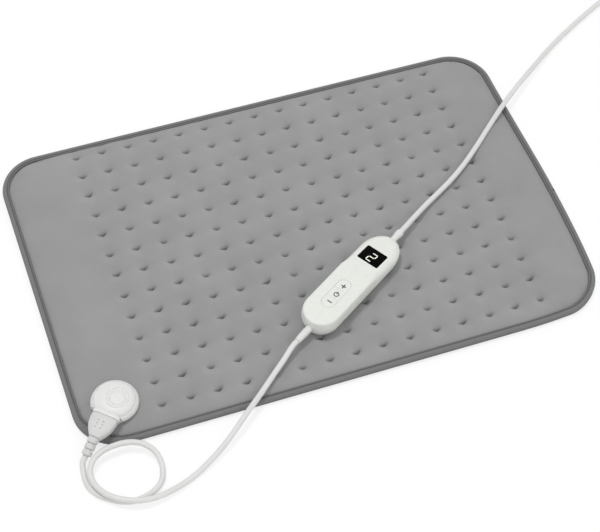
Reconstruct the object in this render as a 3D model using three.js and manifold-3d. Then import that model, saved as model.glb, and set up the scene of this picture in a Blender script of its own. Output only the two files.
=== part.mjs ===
// Heating pad with a wired hand control.
// Millimetres, +Z up. The pad lies on Z = 0 with its middle on the Z axis, its long side along X
// and its far side towards +Y. A lead with the hand control on it plugs into a socket near one corner.

import * as THREE from 'three';
import { mergeGeometries, mergeVertices } from 'three/addons/utils/BufferGeometryUtils.js';
import Module from 'manifold-3d';

const wasm = await Module();
wasm.setup();

// Clearances
const GAP = 0.3; // between pieces that rest on each other
const SLIDE = 0.4; // round the keys and the plug's tongue

// Pad
const PAD_LENGTH = 448;
const PAD_WIDTH = 297;
const PAD_CORNER = 36;
const PAD_CORNER_STEPS = 7;
const PAD_CROWN = 9; // level top of the padding
const CROWN_RUN = 24; // from the binding to the level top
const CROWN_PROFILE = [[0, 0], [0.055, 0.37], [0.2, 0.71], [0.48, 0.92], [1, 1]]; // share of run, of rise
const BINDING_HEIGHT = 6.4;
const BINDING_WIDTH = 6;
const BINDING_ROUND = 1.4;
const TAPE = 0.9;
const BACK_COVER = 1;
const CARRIER = 0.4;
const WIRE = 1.4;

// Dimples welded into the top cover
const DIMPLE_PITCH_X = 23.03;
const DIMPLE_PITCH_Y = 21.83;
const DIMPLE_LEFT = 69.6; // from the pad's left edge to the first column
const DIMPLE_RIGHT = 56;
const DIMPLE_FAR = 14.5;
const DIMPLE_NEAR = 20.5;
const DIMPLE_RADIUS = 4.6;
const DIMPLE_DEPTH = 2.8;

// Socket on the pad, with its own frame: X points the way the plug pulls out
const SOCKET_FROM_LEFT = 35.4;
const SOCKET_FROM_NEAR = 33.2;
const SOCKET_TURN = THREE.MathUtils.degToRad(226.4);
const SOCKET_RADIUS = 19;
const SOCKET_FRONT = 14; // flat face that the plug meets
const SOCKET_HEIGHT = 9.2; // of the domed housing
const SOCKET_BASE = 1.6;
const SOCKET_SIDES = 32;
const RING_INNER = 6.6; // round groove in the top of the dome
const RING_OUTER = 8.8;
const RING_DEPTH = 0.5;
const CLAMP_RADIUS = 15;
const CLAMP_BACK = -5; // the clamp plate stops here to leave room for the wires
const RIVET_RADIUS = 1;
const RIVET_HEAD = 2.1;
const RIVET_HEAD_HEIGHT = 0.7;
const RIVET_X = 5;
const RIVET_Y = 11;
const PIN = 1;
const PIN_PITCH = 5;
const PIN_TIP = 11;
const PIN_TAIL = -8;
const PIN_RISE = 3.4; // pin axis above the top of the base
const PIN_BLOCK_FRONT = 1.5;
const PIN_BLOCK_BACK = -6;

// Sensor and cut-out beside the socket, under the top cover
const SENSOR_LENGTH = 5;
const SENSOR_WIDTH = 3;
const SENSOR_REACH = 14; // from the pin's tail to the sensor's middle
const SENSOR_WIRE = 1;
const SENSOR_TO_WIRE = 2; // from the sensor to the turns of the heating wire
const CUTOUT_LENGTH = 12;
const CUTOUT_WIDTH = 5;
const CUTOUT_HEIGHT = 3;
const CUTOUT_REACH = 22; // from the pin's tail to the cut-out's middle

// Pull-out plug, in the socket's frame
const TONGUE_BACK = 4.6;
const TONGUE_WIDTH = 15;
const TONGUE_HEIGHT = 4.6;
const CONTACT = 2.4;
const CONTACT_LENGTH = 11;
const CONTACT_DEPTH = 7;
const CONTACT_WALL_CLEARANCE = 0.3;
const COLLAR_LENGTH = 3.5;
const COLLAR_HALF_WIDTH = 11.3;
const COLLAR_HALF_HEIGHT = 5;
const PLUG_LENGTH = 19; // from the collar to the neck
const PLUG_WALL = 1.4;
const PLUG_SQUARENESS = 3;
const PLUG_RING_POINTS = 20;
const PLUG_DROP = 1.9; // the neck sits lower than the tongue
const PLUG_PROFILE = [ // share of length, half width, half height
  [0, 10.7, 4.6],
  [0.26, 10.5, 4.5],
  [0.53, 9.5, 4.3],
  [0.74, 7.6, 4.1],
  [0.9, 5.5, 3.9],
  [1, 4.3, 3.8],
];
const EAR_LENGTH = 2.2; // ears that hold the contact carrier in the shells
const EAR_HALF_WIDTH = 8.5;
const EAR_HEIGHT = 2.4;
const BOOT_TILT = THREE.MathUtils.degToRad(19);
const BOOT_LENGTH = 15;
const BOOT_ROOT = 2.5;
const BOOT_ROOT_LENGTH = 3.4;
const BOOT_WIDE = 4.3;
const BOOT_NARROW = 3.9;
const BOOT_RIBS = 4;
const BOOT_GROOVE = 0.8;

// Hand control, in its own frame: X runs towards the mains cord
const CONTROL_FROM_LEFT = 246.2; // the pad's left edge to the control's middle
const CONTROL_FROM_NEAR = 77.2;
const CONTROL_TURN = THREE.MathUtils.degToRad(32.6);
const CONTROL_LENGTH = 113.4;
const CONTROL_WIDTH = 33;
const CONTROL_HEIGHT = 18;
const CONTROL_PARTING = 9.6;
const CONTROL_WALL = 2;
const CONTROL_NEAR_ROUND = 17;
const CONTROL_FAR_ROUND = 22;
const CONTROL_END_STEPS = 10;
const CONTROL_FLARE = 0.5; // the side walls lean out by this much up to the parting
const CONTROL_LOWER_EDGE = [[4.5, 0], [2.6, 0.9], [1.5, 2.6]]; // inset, height
const CONTROL_UPPER_EDGE = [[0.25, 4.5], [1, 1.8], [2.2, 0.6], [4, 0]]; // inset, drop below the top
const CREASE_X = 5.7; // the top slopes down from here to the display end
const SLOPE = THREE.MathUtils.degToRad(4.5);
const KEYPAD_X = -21.3;
const KEYPAD_LENGTH = 31.5;
const KEYPAD_WIDTH = 11.5;
const KEY_MIDDLE_LENGTH = 10;
const KEY_PROUD = 0.5;
const KEY_FLANGE = 1.4;
const KEY_FLANGE_LIP = 1.2;
const KEY_STEM_RADIUS = 1.6;
const WINDOW_FROM_CREASE = 22;
const WINDOW_LENGTH = 16;
const WINDOW_WIDTH = 20;
const WINDOW_CORNER = 0.8;
const WINDOW_THICKNESS = 1.2;
const WINDOW_SUNK = 0.15;
const WINDOW_LEDGE = 2;
const BOARD_END_CLEARANCE = 1.3; // to the screw bosses
const BOARD_SIDE_CLEARANCE = 2.5; // to the side walls
const BOARD_THICKNESS = 1.6;
const BOARD_HEIGHT = 5.6;
const POST_RADIUS = 1.8;
const POST_INSET = 4;
const SWITCH_SIZE = 6;
const SWITCH_HEIGHT = 3.2;
const SWITCH_BORE_FLOOR = 0.6;
const PLUNGER_RADIUS = 1.4;
const PLUNGER_RISE = 1.5;
const KEY_TRAVEL = 0.5;
const MODULE_LENGTH = 12.5;
const MODULE_WIDTH = 17;
const MODULE_HEIGHT = 5.5;
const MODULE_CORNER = 1;
const CAPACITOR = { x: 6.7, y: 6, length: 13, width: 6, height: 6.5 };
const TRIAC = { x: 6.7, y: -6.5, length: 10, width: 4.5, height: 6 };
const CHIP = { x: 14.2, y: 0, length: 4, width: 6, height: 1.6 };
const FUSE_X = -2.8;
const FUSE_RADIUS = 1.8;
const FUSE_LENGTH = 12;
const SCREW_FROM_END = 11;
const SCREW_Y = 6.5;
const SCREW_RADIUS = 1.2;
const SCREW_HEAD = 2.2;
const SCREW_HEAD_HEIGHT = 1.6;
const SCREW_SUNK = 0.5;
const SCREW_BITE = 2.6; // into the upper boss
const BOSS_RADIUS = 2.8;
const HEAD_BOSS_WALL = 1.2;
const GLAND_RADIUS = 3.1;
const GLAND_TIP_RADIUS = 2.8;
const GLAND_NEAR = 15;
const GLAND_FAR = 11;
const GLAND_FLANGE = 1.5;
const GLAND_FLANGE_LIP = 0.8;
const GLAND_SET_BACK = 1.9; // the lip's seat inside the curved end wall
const GLAND_HEIGHT = 8;

// Cords
const CORD = 4.6;
const CORD_SIDES = 10;
const PAD_CORD_STEPS = 42;
const MAINS_CORD_STEPS = 36;
const PAD_CORD_ROUTE = [ // from the boot round one loop, over the pad's edge to the control
  [-228.6, -163.5, 3.4], [-228.8, -171, 2.5], [-227, -178.2, 2.4],
  [-222.3, -185.2, 2.4], [-215.5, -191, 2.4], [-207.5, -195.6, 2.4], [-199, -197.9, 2.4],
  [-190.5, -197.2, 2.4], [-182, -194.6, 2.4], [-175, -189.2, 2.7], [-171.2, -181.4, 3.8],
  [-170.3, -173, 5.5], [-172.3, -165, 7.4], [-177, -158.6, 8.7], [-184, -153.7, 9.2],
  [-192.5, -151.3, 9.3], [-201, -151.2, 9.3], [-209, -152.4, 9], [-216.3, -155.7, 8.5],
  [-221.6, -160.9, 7.9], [-224.3, -167.8, 7.4], [-224, -175.5, 7.2], [-220.8, -183.8, 7.3],
  [-215, -191, 7.5], [-207.5, -196.5, 7.6], [-199.5, -200.2, 7.6], [-190.5, -202.3, 7.1],
  [-181, -202, 6], [-170, -199.6, 4.4], [-158.5, -195.8, 3], [-146, -190.4, 2.6],
  [-134, -184, 3.8], [-121.5, -176.6, 6.4], [-109, -167.7, 9.2], [-95.7, -156.8, 11.2],
  [-80, -143.8, 11.8], [-66, -131.8, 12.5], [-52.5, -120.9, 14.8],
];
const MAINS_CORD_ROUTE = [ // from the control over the pad's edge towards the coil
  [95.3, -23.5, 15.8], [111.5, -12, 13.4], [127.5, -2, 12.1], [142.9, 7.7, 11.8],
  [157, 17.8, 11.7], [170, 28.4, 11.7], [183.5, 40.2, 11.7], [196, 51.6, 11.7],
  [208, 62.4, 11.6], [220, 72.9, 11.2], [233.5, 84, 10.4], [247.5, 95.3, 8.9],
  [263.5, 107.6, 6.8], [281.5, 121.3, 4.7], [299.5, 133.8, 3.5], [316, 143.8, 3.2],
  [337, 155.5, 3.2], [360, 167.2, 3.4],
];
const CORD_STRAIGHT = 12; // straight run of the mains cord into the coil

// Coil of the length that is put away
const COIL_X = 375.5;
const COIL_Y = 217.3;
const COIL_INNER = 18.9;
const COIL_TURNS = 3.71; // in each of the two layers
const COIL_START = THREE.MathUtils.degToRad(-63.8);
const COIL_STEPS = 24;
const COIL_SIDES = 6;
const COIL_GAP = 0.5;
const COIL_LEAD = 16;
const TIE_THICKNESS = 0.8;
const TIE_WIDTH = 6;
const TIE_ANGLE = THREE.MathUtils.degToRad(20);
const TIE_CLEARANCE = 0.5;

// Mains plug, flat with two round pins
const MAINS_BOOT_LENGTH = 22;
const MAINS_BOOT_NARROW = 2.9;
const MAINS_BOOT_WIDE = 4.6;
const MAINS_BOOT_RIBS = 4;
const MAINS_BODY_LENGTH = 34;
const MAINS_BODY_HALF_HEIGHT = 6.85;
const MAINS_BODY_SQUARENESS = 4;
const MAINS_BODY_PROFILE = [ // share of length, half width, share of half height
  [0, 5.6, 0.76],
  [0.12, 9, 0.92],
  [0.4, 14.4, 1],
  [0.7, 17.2, 1],
  [0.95, 17.6, 1],
  [1, 17, 0.92],
];
const MAINS_PIN_RADIUS = 2;
const MAINS_PIN_LENGTH = 19;
const MAINS_PIN_ROOT = 6;
const MAINS_PIN_HALF_SPACING = 9.3;
const FLOOR_CLEARANCE = 0.1;

// Finishes
function finish(color, roughness, metalness = 0) {
  return new THREE.MeshStandardMaterial({ color, roughness, metalness });
}

const plush = finish(0x9c9c9c, 0.95);
const tapeCloth = finish(0x6f6f6f, 0.9);
const innerFelt = finish(0xe4e0d6, 0.95);
const whiteShell = finish(0xf1f1ee, 0.4);
const greyShell = finish(0xdfdfdc, 0.55);
const cordJacket = finish(0xeeeeec, 0.5);
const wireJacket = finish(0xb9563f, 0.6);
const bareBrass = finish(0xc9a85a, 0.35, 1);
const platedSteel = finish(0xb8babd, 0.35, 1);
const blackLens = finish(0x08090a, 0.15);
const boardGreen = finish(0x1f6a3d, 0.6);
const darkPlastic = finish(0x26282a, 0.5);
const capFilm = finish(0xc7a12f, 0.5);
const fuseGlass = finish(0xcfd6d6, 0.2);

// Solids: closed meshes joined and cut
function toSolid(geometry) {
  const bare = geometry.clone();
  bare.deleteAttribute('normal');
  bare.deleteAttribute('uv');
  const merged = mergeVertices(bare, 1e-4);
  const corners = merged.index.array;
  const triangles = [];
  for (let i = 0; i < corners.length; i += 3) {
    const [a, b, c] = corners.slice(i, i + 3);
    if (a !== b && b !== c && c !== a) triangles.push(a, b, c);
  }
  return new wasm.Manifold(new wasm.Mesh({
    numProp: 3,
    vertProperties: new Float32Array(merged.attributes.position.array),
    triVerts: new Uint32Array(triangles),
  }));
}

function toGeometry(solid) {
  const mesh = solid.getMesh();
  const geometry = new THREE.BufferGeometry();
  geometry.setAttribute('position', new THREE.BufferAttribute(mesh.vertProperties, 3));
  geometry.setIndex(new THREE.BufferAttribute(mesh.triVerts, 1));
  return geometry;
}

function combine(operation, first, others) {
  const result = others.reduce((solid, other) => solid[operation](toSolid(other)), toSolid(first));
  return toGeometry(result);
}

const cut = (first, ...others) => combine('subtract', first, others);
const join = (first, ...others) => combine('add', first, others);
const common = (first, ...others) => combine('intersect', first, others);

// Shapes
function box(x, y, z) {
  const geometry = new THREE.BoxGeometry(x[1] - x[0], y[1] - y[0], z[1] - z[0]);
  return geometry.translate((x[0] + x[1]) / 2, (y[0] + y[1]) / 2, (z[0] + z[1]) / 2);
}

// A turned piece on the Z axis from a profile of radius and height that starts and ends on the axis
function turned(profile, sides) {
  const points = profile.map(([radius, height]) => new THREE.Vector2(radius, height));
  return new THREE.LatheGeometry(points, sides).rotateX(Math.PI / 2);
}

function rod(radius, bottom, top, sides = 16) {
  return turned([[0, bottom], [radius, bottom], [radius, top], [0, top]], sides);
}

// Rings of equal point count, each anticlockwise seen from the next one, skinned and closed at both ends
function loft(rings) {
  const count = rings[0].length;
  const last = (rings.length - 1) * count;
  const triangles = [];
  for (let low = 0; low < last; low += count) {
    for (let i = 0; i < count; i++) {
      const j = (i + 1) % count;
      triangles.push(low + i, low + j, low + count + j);
      triangles.push(low + i, low + count + j, low + count + i);
    }
  }
  for (let i = 1; i + 1 < count; i++) {
    triangles.push(0, i + 1, i);
    triangles.push(last, last + i, last + i + 1);
  }
  const geometry = new THREE.BufferGeometry().setFromPoints(rings.flat());
  geometry.setIndex(triangles);
  return geometry;
}

function roundedRing(length, width, radius, z, steps) {
  const ring = [];
  for (let corner = 0; corner < 4; corner++) {
    const middleX = (length / 2 - radius) * (corner === 0 || corner === 3 ? 1 : -1);
    const middleY = (width / 2 - radius) * (corner < 2 ? 1 : -1);
    for (let step = 0; step <= steps; step++) {
      const angle = (corner + step / steps) * Math.PI / 2;
      const x = middleX + radius * Math.cos(angle);
      const y = middleY + radius * Math.sin(angle);
      ring.push(new THREE.Vector3(x, y, z));
    }
  }
  return ring;
}

// A ring across the X axis, between an ellipse and a rectangle in shape
function squareRing(x, halfWidth, halfHeight, middleZ, squareness) {
  const bulge = (value) => Math.sign(value) * Math.abs(value) ** (2 / squareness);
  return Array.from({ length: PLUG_RING_POINTS }, (_, i) => {
    const angle = (i + 0.5) / PLUG_RING_POINTS * 2 * Math.PI;
    const y = halfWidth * bulge(Math.cos(angle));
    const z = middleZ + halfHeight * bulge(Math.sin(angle));
    return new THREE.Vector3(x, y, z);
  });
}

// A round tube along points, with a ring square to the path at each
function sweep(points, radius, sides) {
  const up = new THREE.Vector3(0, 0, 1);
  const rings = points.map((point, i) => {
    const before = points[Math.max(i - 1, 0)];
    const after = points[Math.min(i + 1, points.length - 1)];
    const along = after.clone().sub(before).normalize();
    const side = up.clone().cross(along).normalize();
    const top = along.clone().cross(side);
    return Array.from({ length: sides }, (_, s) => {
      const angle = (s + 0.5) / sides * 2 * Math.PI;
      const ring = point.clone().addScaledVector(side, radius * Math.cos(angle));
      return ring.addScaledVector(top, radius * Math.sin(angle));
    });
  });
  return loft(rings);
}

function frameAt(x, y, z, turn) {
  return new THREE.Matrix4().makeRotationZ(turn).setPosition(x, y, z);
}

function groupAt(frame) {
  const group = new THREE.Group();
  group.applyMatrix4(frame);
  return group;
}

function add(group, name, geometry, material) {
  const mesh = new THREE.Mesh(geometry, material);
  mesh.name = name;
  group.add(mesh);
}

const heatingPad = new THREE.Group();

// Heights of the pad's layers, from the surface it lies on upwards
const backRim = TAPE + GAP;
const backTop = backRim + BACK_COVER;
const carrierBottom = backTop + GAP;
const carrierTop = carrierBottom + CARRIER;
const wireBottom = carrierTop + GAP;
const wireMiddle = wireBottom + WIRE / 2;
const coverRoof = wireBottom + WIRE + GAP;
const coverRim = BINDING_HEIGHT - TAPE - GAP;
const seamInset = TAPE + GAP;
const fieldInset = BINDING_WIDTH + GAP;

// Places that several pieces share
const socketX = SOCKET_FROM_LEFT - PAD_LENGTH / 2;
const socketY = SOCKET_FROM_NEAR - PAD_WIDTH / 2;
const socketFrame = frameAt(socketX, socketY, 0, SOCKET_TURN);
const baseBottom = PAD_CROWN + GAP;
const baseTop = baseBottom + SOCKET_BASE;
const pinHeight = baseTop + PIN_RISE;
const pinRows = [-PIN_PITCH, 0, PIN_PITCH];
const rivetRows = [-RIVET_Y, RIVET_Y];
const pinTails = pinRows.map((y) => new THREE.Vector3(PIN_TAIL, y, 0).applyMatrix4(socketFrame));
const tailClearance = PIN * Math.SQRT1_2 + GAP;
const sensorPlace = new THREE.Vector3(PIN_TAIL - SENSOR_REACH, 0, 0).applyMatrix4(socketFrame);
const cutoutX = pinTails[0].x;
const cutoutY = pinTails[0].y + CUTOUT_REACH;

function padRing(inset, z) {
  const radius = Math.max(PAD_CORNER - inset, 1);
  return roundedRing(PAD_LENGTH - 2 * inset, PAD_WIDTH - 2 * inset, radius, z, PAD_CORNER_STEPS);
}

function crownHeight(inset) {
  const run = THREE.MathUtils.clamp((inset - fieldInset) / CROWN_RUN, 0, 1);
  const next = Math.max(CROWN_PROFILE.findIndex(([share]) => share >= run), 1);
  const [run0, rise0] = CROWN_PROFILE[next - 1];
  const [run1, rise1] = CROWN_PROFILE[next];
  const rise = THREE.MathUtils.mapLinear(run, run0, run1, rise0, rise1);
  return THREE.MathUtils.lerp(coverRim, PAD_CROWN, rise);
}

function spaced(first, last, pitch) {
  const count = Math.round(Math.abs(last - first) / pitch) + 1;
  return Array.from({ length: count }, (_, i) => first + i * pitch * Math.sign(last - first));
}

const dimpleColumns = spaced(DIMPLE_LEFT - PAD_LENGTH / 2, PAD_LENGTH / 2 - DIMPLE_RIGHT, DIMPLE_PITCH_X);
const dimpleRows = spaced(PAD_WIDTH / 2 - DIMPLE_FAR, DIMPLE_NEAR - PAD_WIDTH / 2, DIMPLE_PITCH_Y);

// Edge binding: a tape folded round the edge of all the layers
function edgeBinding() {
  const outside = loft([
    padRing(BINDING_ROUND, 0),
    padRing(BINDING_ROUND * 0.3, BINDING_ROUND * 0.7),
    padRing(0, BINDING_HEIGHT / 2),
    padRing(BINDING_ROUND * 0.3, BINDING_HEIGHT - BINDING_ROUND * 0.7),
    padRing(BINDING_ROUND, BINDING_HEIGHT),
  ]);
  const slot = loft([padRing(TAPE, TAPE), padRing(TAPE, BINDING_HEIGHT - TAPE)]);
  const middle = loft([padRing(BINDING_WIDTH, -1), padRing(BINDING_WIDTH, BINDING_HEIGHT + 1)]);
  return cut(outside, slot, middle);
}

// Back cover: lies on the surface inside the binding, with its rim tucked into the fold
function backCover() {
  return loft([
    padRing(fieldInset, 0),
    padRing(fieldInset, backRim),
    padRing(seamInset, backRim),
    padRing(seamInset, backTop),
  ]);
}

function dimplePits() {
  const height = DIMPLE_DEPTH + 1;
  const radius = DIMPLE_RADIUS * height / DIMPLE_DEPTH;
  const pits = dimpleColumns.flatMap((x) => dimpleRows.map((y) => {
    const inset = Math.min(PAD_LENGTH / 2 - Math.abs(x), PAD_WIDTH / 2 - Math.abs(y));
    const bottom = crownHeight(inset) - DIMPLE_DEPTH;
    const pit = new THREE.ConeGeometry(radius, height, 4).rotateX(-Math.PI / 2);
    return pit.translate(x, y, bottom + height / 2);
  }));
  return mergeGeometries(pits);
}

// Top cover: crowned padding with its welded dimples, hollowed below for the wire and its parts
function topCover() {
  const crown = CROWN_PROFILE.map(([run]) => {
    const inset = fieldInset + run * CROWN_RUN;
    return padRing(inset, crownHeight(inset));
  });
  const padding = loft([padRing(seamInset, wireBottom), padRing(seamInset, coverRim), ...crown]);
  const hollow = loft([padRing(fieldInset + 2, 0), padRing(fieldInset + 2, coverRoof)]);
  const pinSlot = box(
    [PIN_TAIL - PIN, PIN_TAIL + PIN],
    [-PIN_PITCH - PIN, PIN_PITCH + PIN],
    [0, PAD_CROWN + 1],
  ).applyMatrix4(socketFrame);
  const rivetHoles = rivetRows.map((y) => {
    const hole = rod(RIVET_RADIUS + GAP, 0, PAD_CROWN + 1, 12).translate(RIVET_X, y, 0);
    return hole.applyMatrix4(socketFrame);
  });
  const cutoutHollow = box(
    [cutoutX - CUTOUT_WIDTH / 2 - GAP, cutoutX + CUTOUT_WIDTH / 2 + GAP],
    [cutoutY - CUTOUT_LENGTH / 2 - GAP, cutoutY + CUTOUT_LENGTH / 2 + GAP],
    [0, wireBottom + CUTOUT_HEIGHT + GAP],
  );
  return cut(padding, hollow, dimplePits(), pinSlot, ...rivetHoles, cutoutHollow);
}

function wireCarrier() {
  return loft([padRing(seamInset, carrierBottom), padRing(seamInset, carrierTop)]);
}

// Heating wire: runs between the rows of dimples, with round turns at the ends of the runs
function heatingWire() {
  const left = sensorPlace.x + SENSOR_LENGTH / 2 + SENSOR_TO_WIRE + DIMPLE_PITCH_Y / 2;
  const right = dimpleColumns.at(-1) + DIMPLE_PITCH_X / 2;
  const runs = Math.floor((dimpleRows.length - 1) / 2) * 2;
  const turn = DIMPLE_PITCH_Y / 2;
  const cornerSteps = 4;
  const points = [new THREE.Vector3(cutoutX, cutoutY + CUTOUT_LENGTH / 2 + GAP, wireMiddle)];
  const arc = (middleX, middleY, from, to, steps) => {
    for (let step = 0; step <= steps; step++) {
      const angle = THREE.MathUtils.lerp(from, to, step / steps) * Math.PI;
      const x = middleX + turn * Math.cos(angle);
      points.push(new THREE.Vector3(x, middleY + turn * Math.sin(angle), wireMiddle));
    }
  };
  const runY = (run) => dimpleRows[run] - turn;
  arc(cutoutX + turn, runY(0) - turn, 1, 0.5, cornerSteps);
  for (let run = 0; run + 1 < runs; run++) {
    const rightwards = run % 2 === 0;
    arc(rightwards ? right : left, runY(run) - turn, 0.5, rightwards ? -0.5 : 1.5, 2 * cornerSteps);
  }
  const end = pinTails.at(-1);
  points.push(new THREE.Vector3(left, runY(runs - 1), wireMiddle));
  points.push(new THREE.Vector3(end.x + tailClearance, end.y, wireMiddle));
  return sweep(points, WIRE / 2, 6);
}

function feedWire() {
  const start = new THREE.Vector3(cutoutX, pinTails[0].y + tailClearance, wireMiddle);
  const end = new THREE.Vector3(cutoutX, cutoutY - CUTOUT_LENGTH / 2 - GAP, wireMiddle);
  return sweep([start, end], WIRE / 2, 6);
}

function thermalCutout() {
  const bottom = roundedRing(CUTOUT_WIDTH, CUTOUT_LENGTH, CUTOUT_WIDTH / 5, wireBottom, 2);
  const top = roundedRing(CUTOUT_WIDTH, CUTOUT_LENGTH, CUTOUT_WIDTH / 5, wireBottom + CUTOUT_HEIGHT, 2);
  return loft([bottom, top]).translate(cutoutX, cutoutY, 0);
}

add(heatingPad, 'edge_binding', edgeBinding(), tapeCloth);
add(heatingPad, 'back_cover', backCover(), plush);
add(heatingPad, 'wire_carrier', wireCarrier(), innerFelt);
add(heatingPad, 'heating_wire', heatingWire(), wireJacket);
add(heatingPad, 'feed_wire', feedWire(), wireJacket);
add(heatingPad, 'thermal_cutout', thermalCutout(), darkPlastic);
add(heatingPad, 'top_cover', topCover(), plush);

// Socket: clamped through the top cover near the corner
const socket = groupAt(socketFrame);
heatingPad.add(socket);
const domeBottom = baseTop + GAP;
const domeTop = domeBottom + SOCKET_HEIGHT;
const tongueTop = pinHeight + TONGUE_HEIGHT / 2;
const tongueBottom = pinHeight - TONGUE_HEIGHT / 2;
const tongueHalf = TONGUE_WIDTH / 2;
const pocketTop = tongueTop + SLIDE;
const pocketHalf = tongueHalf + SLIDE;
const pocketBack = PIN_TAIL - PIN - GAP;
const beyondFront = [SOCKET_FRONT, SOCKET_RADIUS + 1];
const acrossSocket = [-SOCKET_RADIUS - 1, SOCKET_RADIUS + 1];

function clampPlate() {
  const disc = rod(CLAMP_RADIUS, wireBottom, wireBottom + WIRE, SOCKET_SIDES);
  const back = box([-CLAMP_RADIUS - 1, CLAMP_BACK], acrossSocket, [wireBottom - 1, coverRoof]);
  const holes = rivetRows.map((y) => rod(RIVET_RADIUS + GAP, 0, coverRoof, 12).translate(RIVET_X, y, 0));
  return cut(disc, back, ...holes);
}

function rivet() {
  const headBottom = baseTop - GAP / 2 - RIVET_HEAD_HEIGHT;
  return turned([
    [0, wireBottom],
    [RIVET_RADIUS, wireBottom],
    [RIVET_RADIUS, headBottom],
    [RIVET_HEAD, headBottom],
    [RIVET_HEAD, headBottom + RIVET_HEAD_HEIGHT],
    [0, headBottom + RIVET_HEAD_HEIGHT],
  ], 12);
}

function socketBase() {
  const disc = rod(SOCKET_RADIUS, baseBottom, baseTop, SOCKET_SIDES);
  const front = box(beyondFront, acrossSocket, [baseBottom - 1, baseTop + 1]);
  const pinSlot = box(
    [PIN_TAIL - PIN, PIN_TAIL + PIN],
    [-PIN_PITCH - PIN, PIN_PITCH + PIN],
    [baseBottom - 1, baseTop + 1],
  );
  const sink = baseTop - GAP / 2 - RIVET_HEAD_HEIGHT - GAP;
  const rivetHoles = rivetRows.map((y) => turned([
    [0, baseBottom - 1],
    [RIVET_RADIUS + GAP, baseBottom - 1],
    [RIVET_RADIUS + GAP, sink],
    [RIVET_HEAD + GAP, sink],
    [RIVET_HEAD + GAP, baseTop + 1],
    [0, baseTop + 1],
  ], 12).translate(RIVET_X, y, 0));
  return cut(disc, front, pinSlot, ...rivetHoles);
}

function pinBlock() {
  const body = box([PIN_BLOCK_BACK, PIN_BLOCK_FRONT], [-tongueHalf, tongueHalf], [domeBottom, tongueTop]);
  const half = PIN / 2 + GAP;
  const holes = pinRows.map((y) => box(
    [PIN_BLOCK_BACK - 1, PIN_BLOCK_FRONT + 1],
    [y - half, y + half],
    [pinHeight - half, pinHeight + half],
  ));
  return cut(body, ...holes);
}

function bentPin() {
  const half = PIN / 2;
  const outline = new THREE.Shape([
    new THREE.Vector2(PIN_TAIL - half, wireBottom),
    new THREE.Vector2(PIN_TAIL + half, wireBottom),
    new THREE.Vector2(PIN_TAIL + half, pinHeight - half),
    new THREE.Vector2(PIN_TIP, pinHeight - half),
    new THREE.Vector2(PIN_TIP, pinHeight + half),
    new THREE.Vector2(PIN_TAIL - half, pinHeight + half),
  ]);
  const bar = new THREE.ExtrudeGeometry(outline, { depth: PIN, bevelEnabled: false });
  return bar.rotateX(Math.PI / 2).translate(0, half, 0);
}

// Domed housing: open below and at the front, with a round groove in its top
function socketHousing() {
  const rise = (share) => domeBottom + share * SOCKET_HEIGHT;
  const dome = turned([
    [0, domeBottom],
    [SOCKET_RADIUS, domeBottom],
    [SOCKET_RADIUS, rise(0.25)],
    [SOCKET_RADIUS * 0.99, rise(0.45)],
    [SOCKET_RADIUS * 0.95, rise(0.63)],
    [SOCKET_RADIUS * 0.87, rise(0.79)],
    [SOCKET_RADIUS * 0.75, rise(0.9)],
    [RING_OUTER, domeTop],
    [(RING_OUTER + RING_INNER) / 2, domeTop - RING_DEPTH],
    [RING_INNER, domeTop],
    [0, domeTop],
  ], SOCKET_SIDES);
  const front = box(beyondFront, acrossSocket, [domeBottom - 1, domeTop + 1]);
  const pocket = box([pocketBack, SOCKET_RADIUS + 1], [-pocketHalf, pocketHalf], [domeBottom - 1, pocketTop]);
  return cut(dome, front, pocket);
}

function sensorLead() {
  const start = PIN_TAIL - tailClearance;
  const end = PIN_TAIL - SENSOR_REACH + SENSOR_LENGTH / 2 + GAP;
  const height = wireBottom + SENSOR_WIRE / 2;
  return sweep([new THREE.Vector3(start, 0, height), new THREE.Vector3(end, 0, height)], SENSOR_WIRE / 2, 6);
}

function temperatureSensor() {
  const bottom = roundedRing(SENSOR_LENGTH, SENSOR_WIDTH, SENSOR_WIDTH / 3, wireBottom, 3);
  const top = roundedRing(SENSOR_LENGTH, SENSOR_WIDTH, SENSOR_WIDTH / 3, wireBottom + WIRE, 3);
  return loft([bottom, top]).translate(PIN_TAIL - SENSOR_REACH, 0, 0);
}

add(socket, 'socket_clamp_plate', clampPlate(), whiteShell);
add(socket, 'socket_base', socketBase(), whiteShell);
rivetRows.forEach((y, i) => {
  add(socket, `socket_rivet_${i + 1}`, rivet().translate(RIVET_X, y, 0), platedSteel);
});
add(socket, 'socket_pin_block', pinBlock(), darkPlastic);
pinRows.forEach((y, i) => {
  add(socket, `socket_pin_${i + 1}`, bentPin().translate(0, y, 0), bareBrass);
});
add(socket, 'socket_housing', socketHousing(), whiteShell);
add(socket, 'sensor_lead', sensorLead(), wireJacket);
add(socket, 'temperature_sensor', temperatureSensor(), darkPlastic);

// Plug: slides out of the socket along X
const plug = groupAt(socketFrame);
heatingPad.add(plug);
const collarFront = SOCKET_FRONT + GAP;
const plugFront = collarFront + COLLAR_LENGTH;
const plugEnd = plugFront + PLUG_LENGTH;
const cavityFront = plugFront + PLUG_WALL;
const plugParting = pinHeight - PLUG_DROP / 2;
const bootFrame = new THREE.Matrix4().makeRotationY(Math.PI / 2 + BOOT_TILT);
bootFrame.setPosition(plugEnd, 0, pinHeight - PLUG_DROP);

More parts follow.
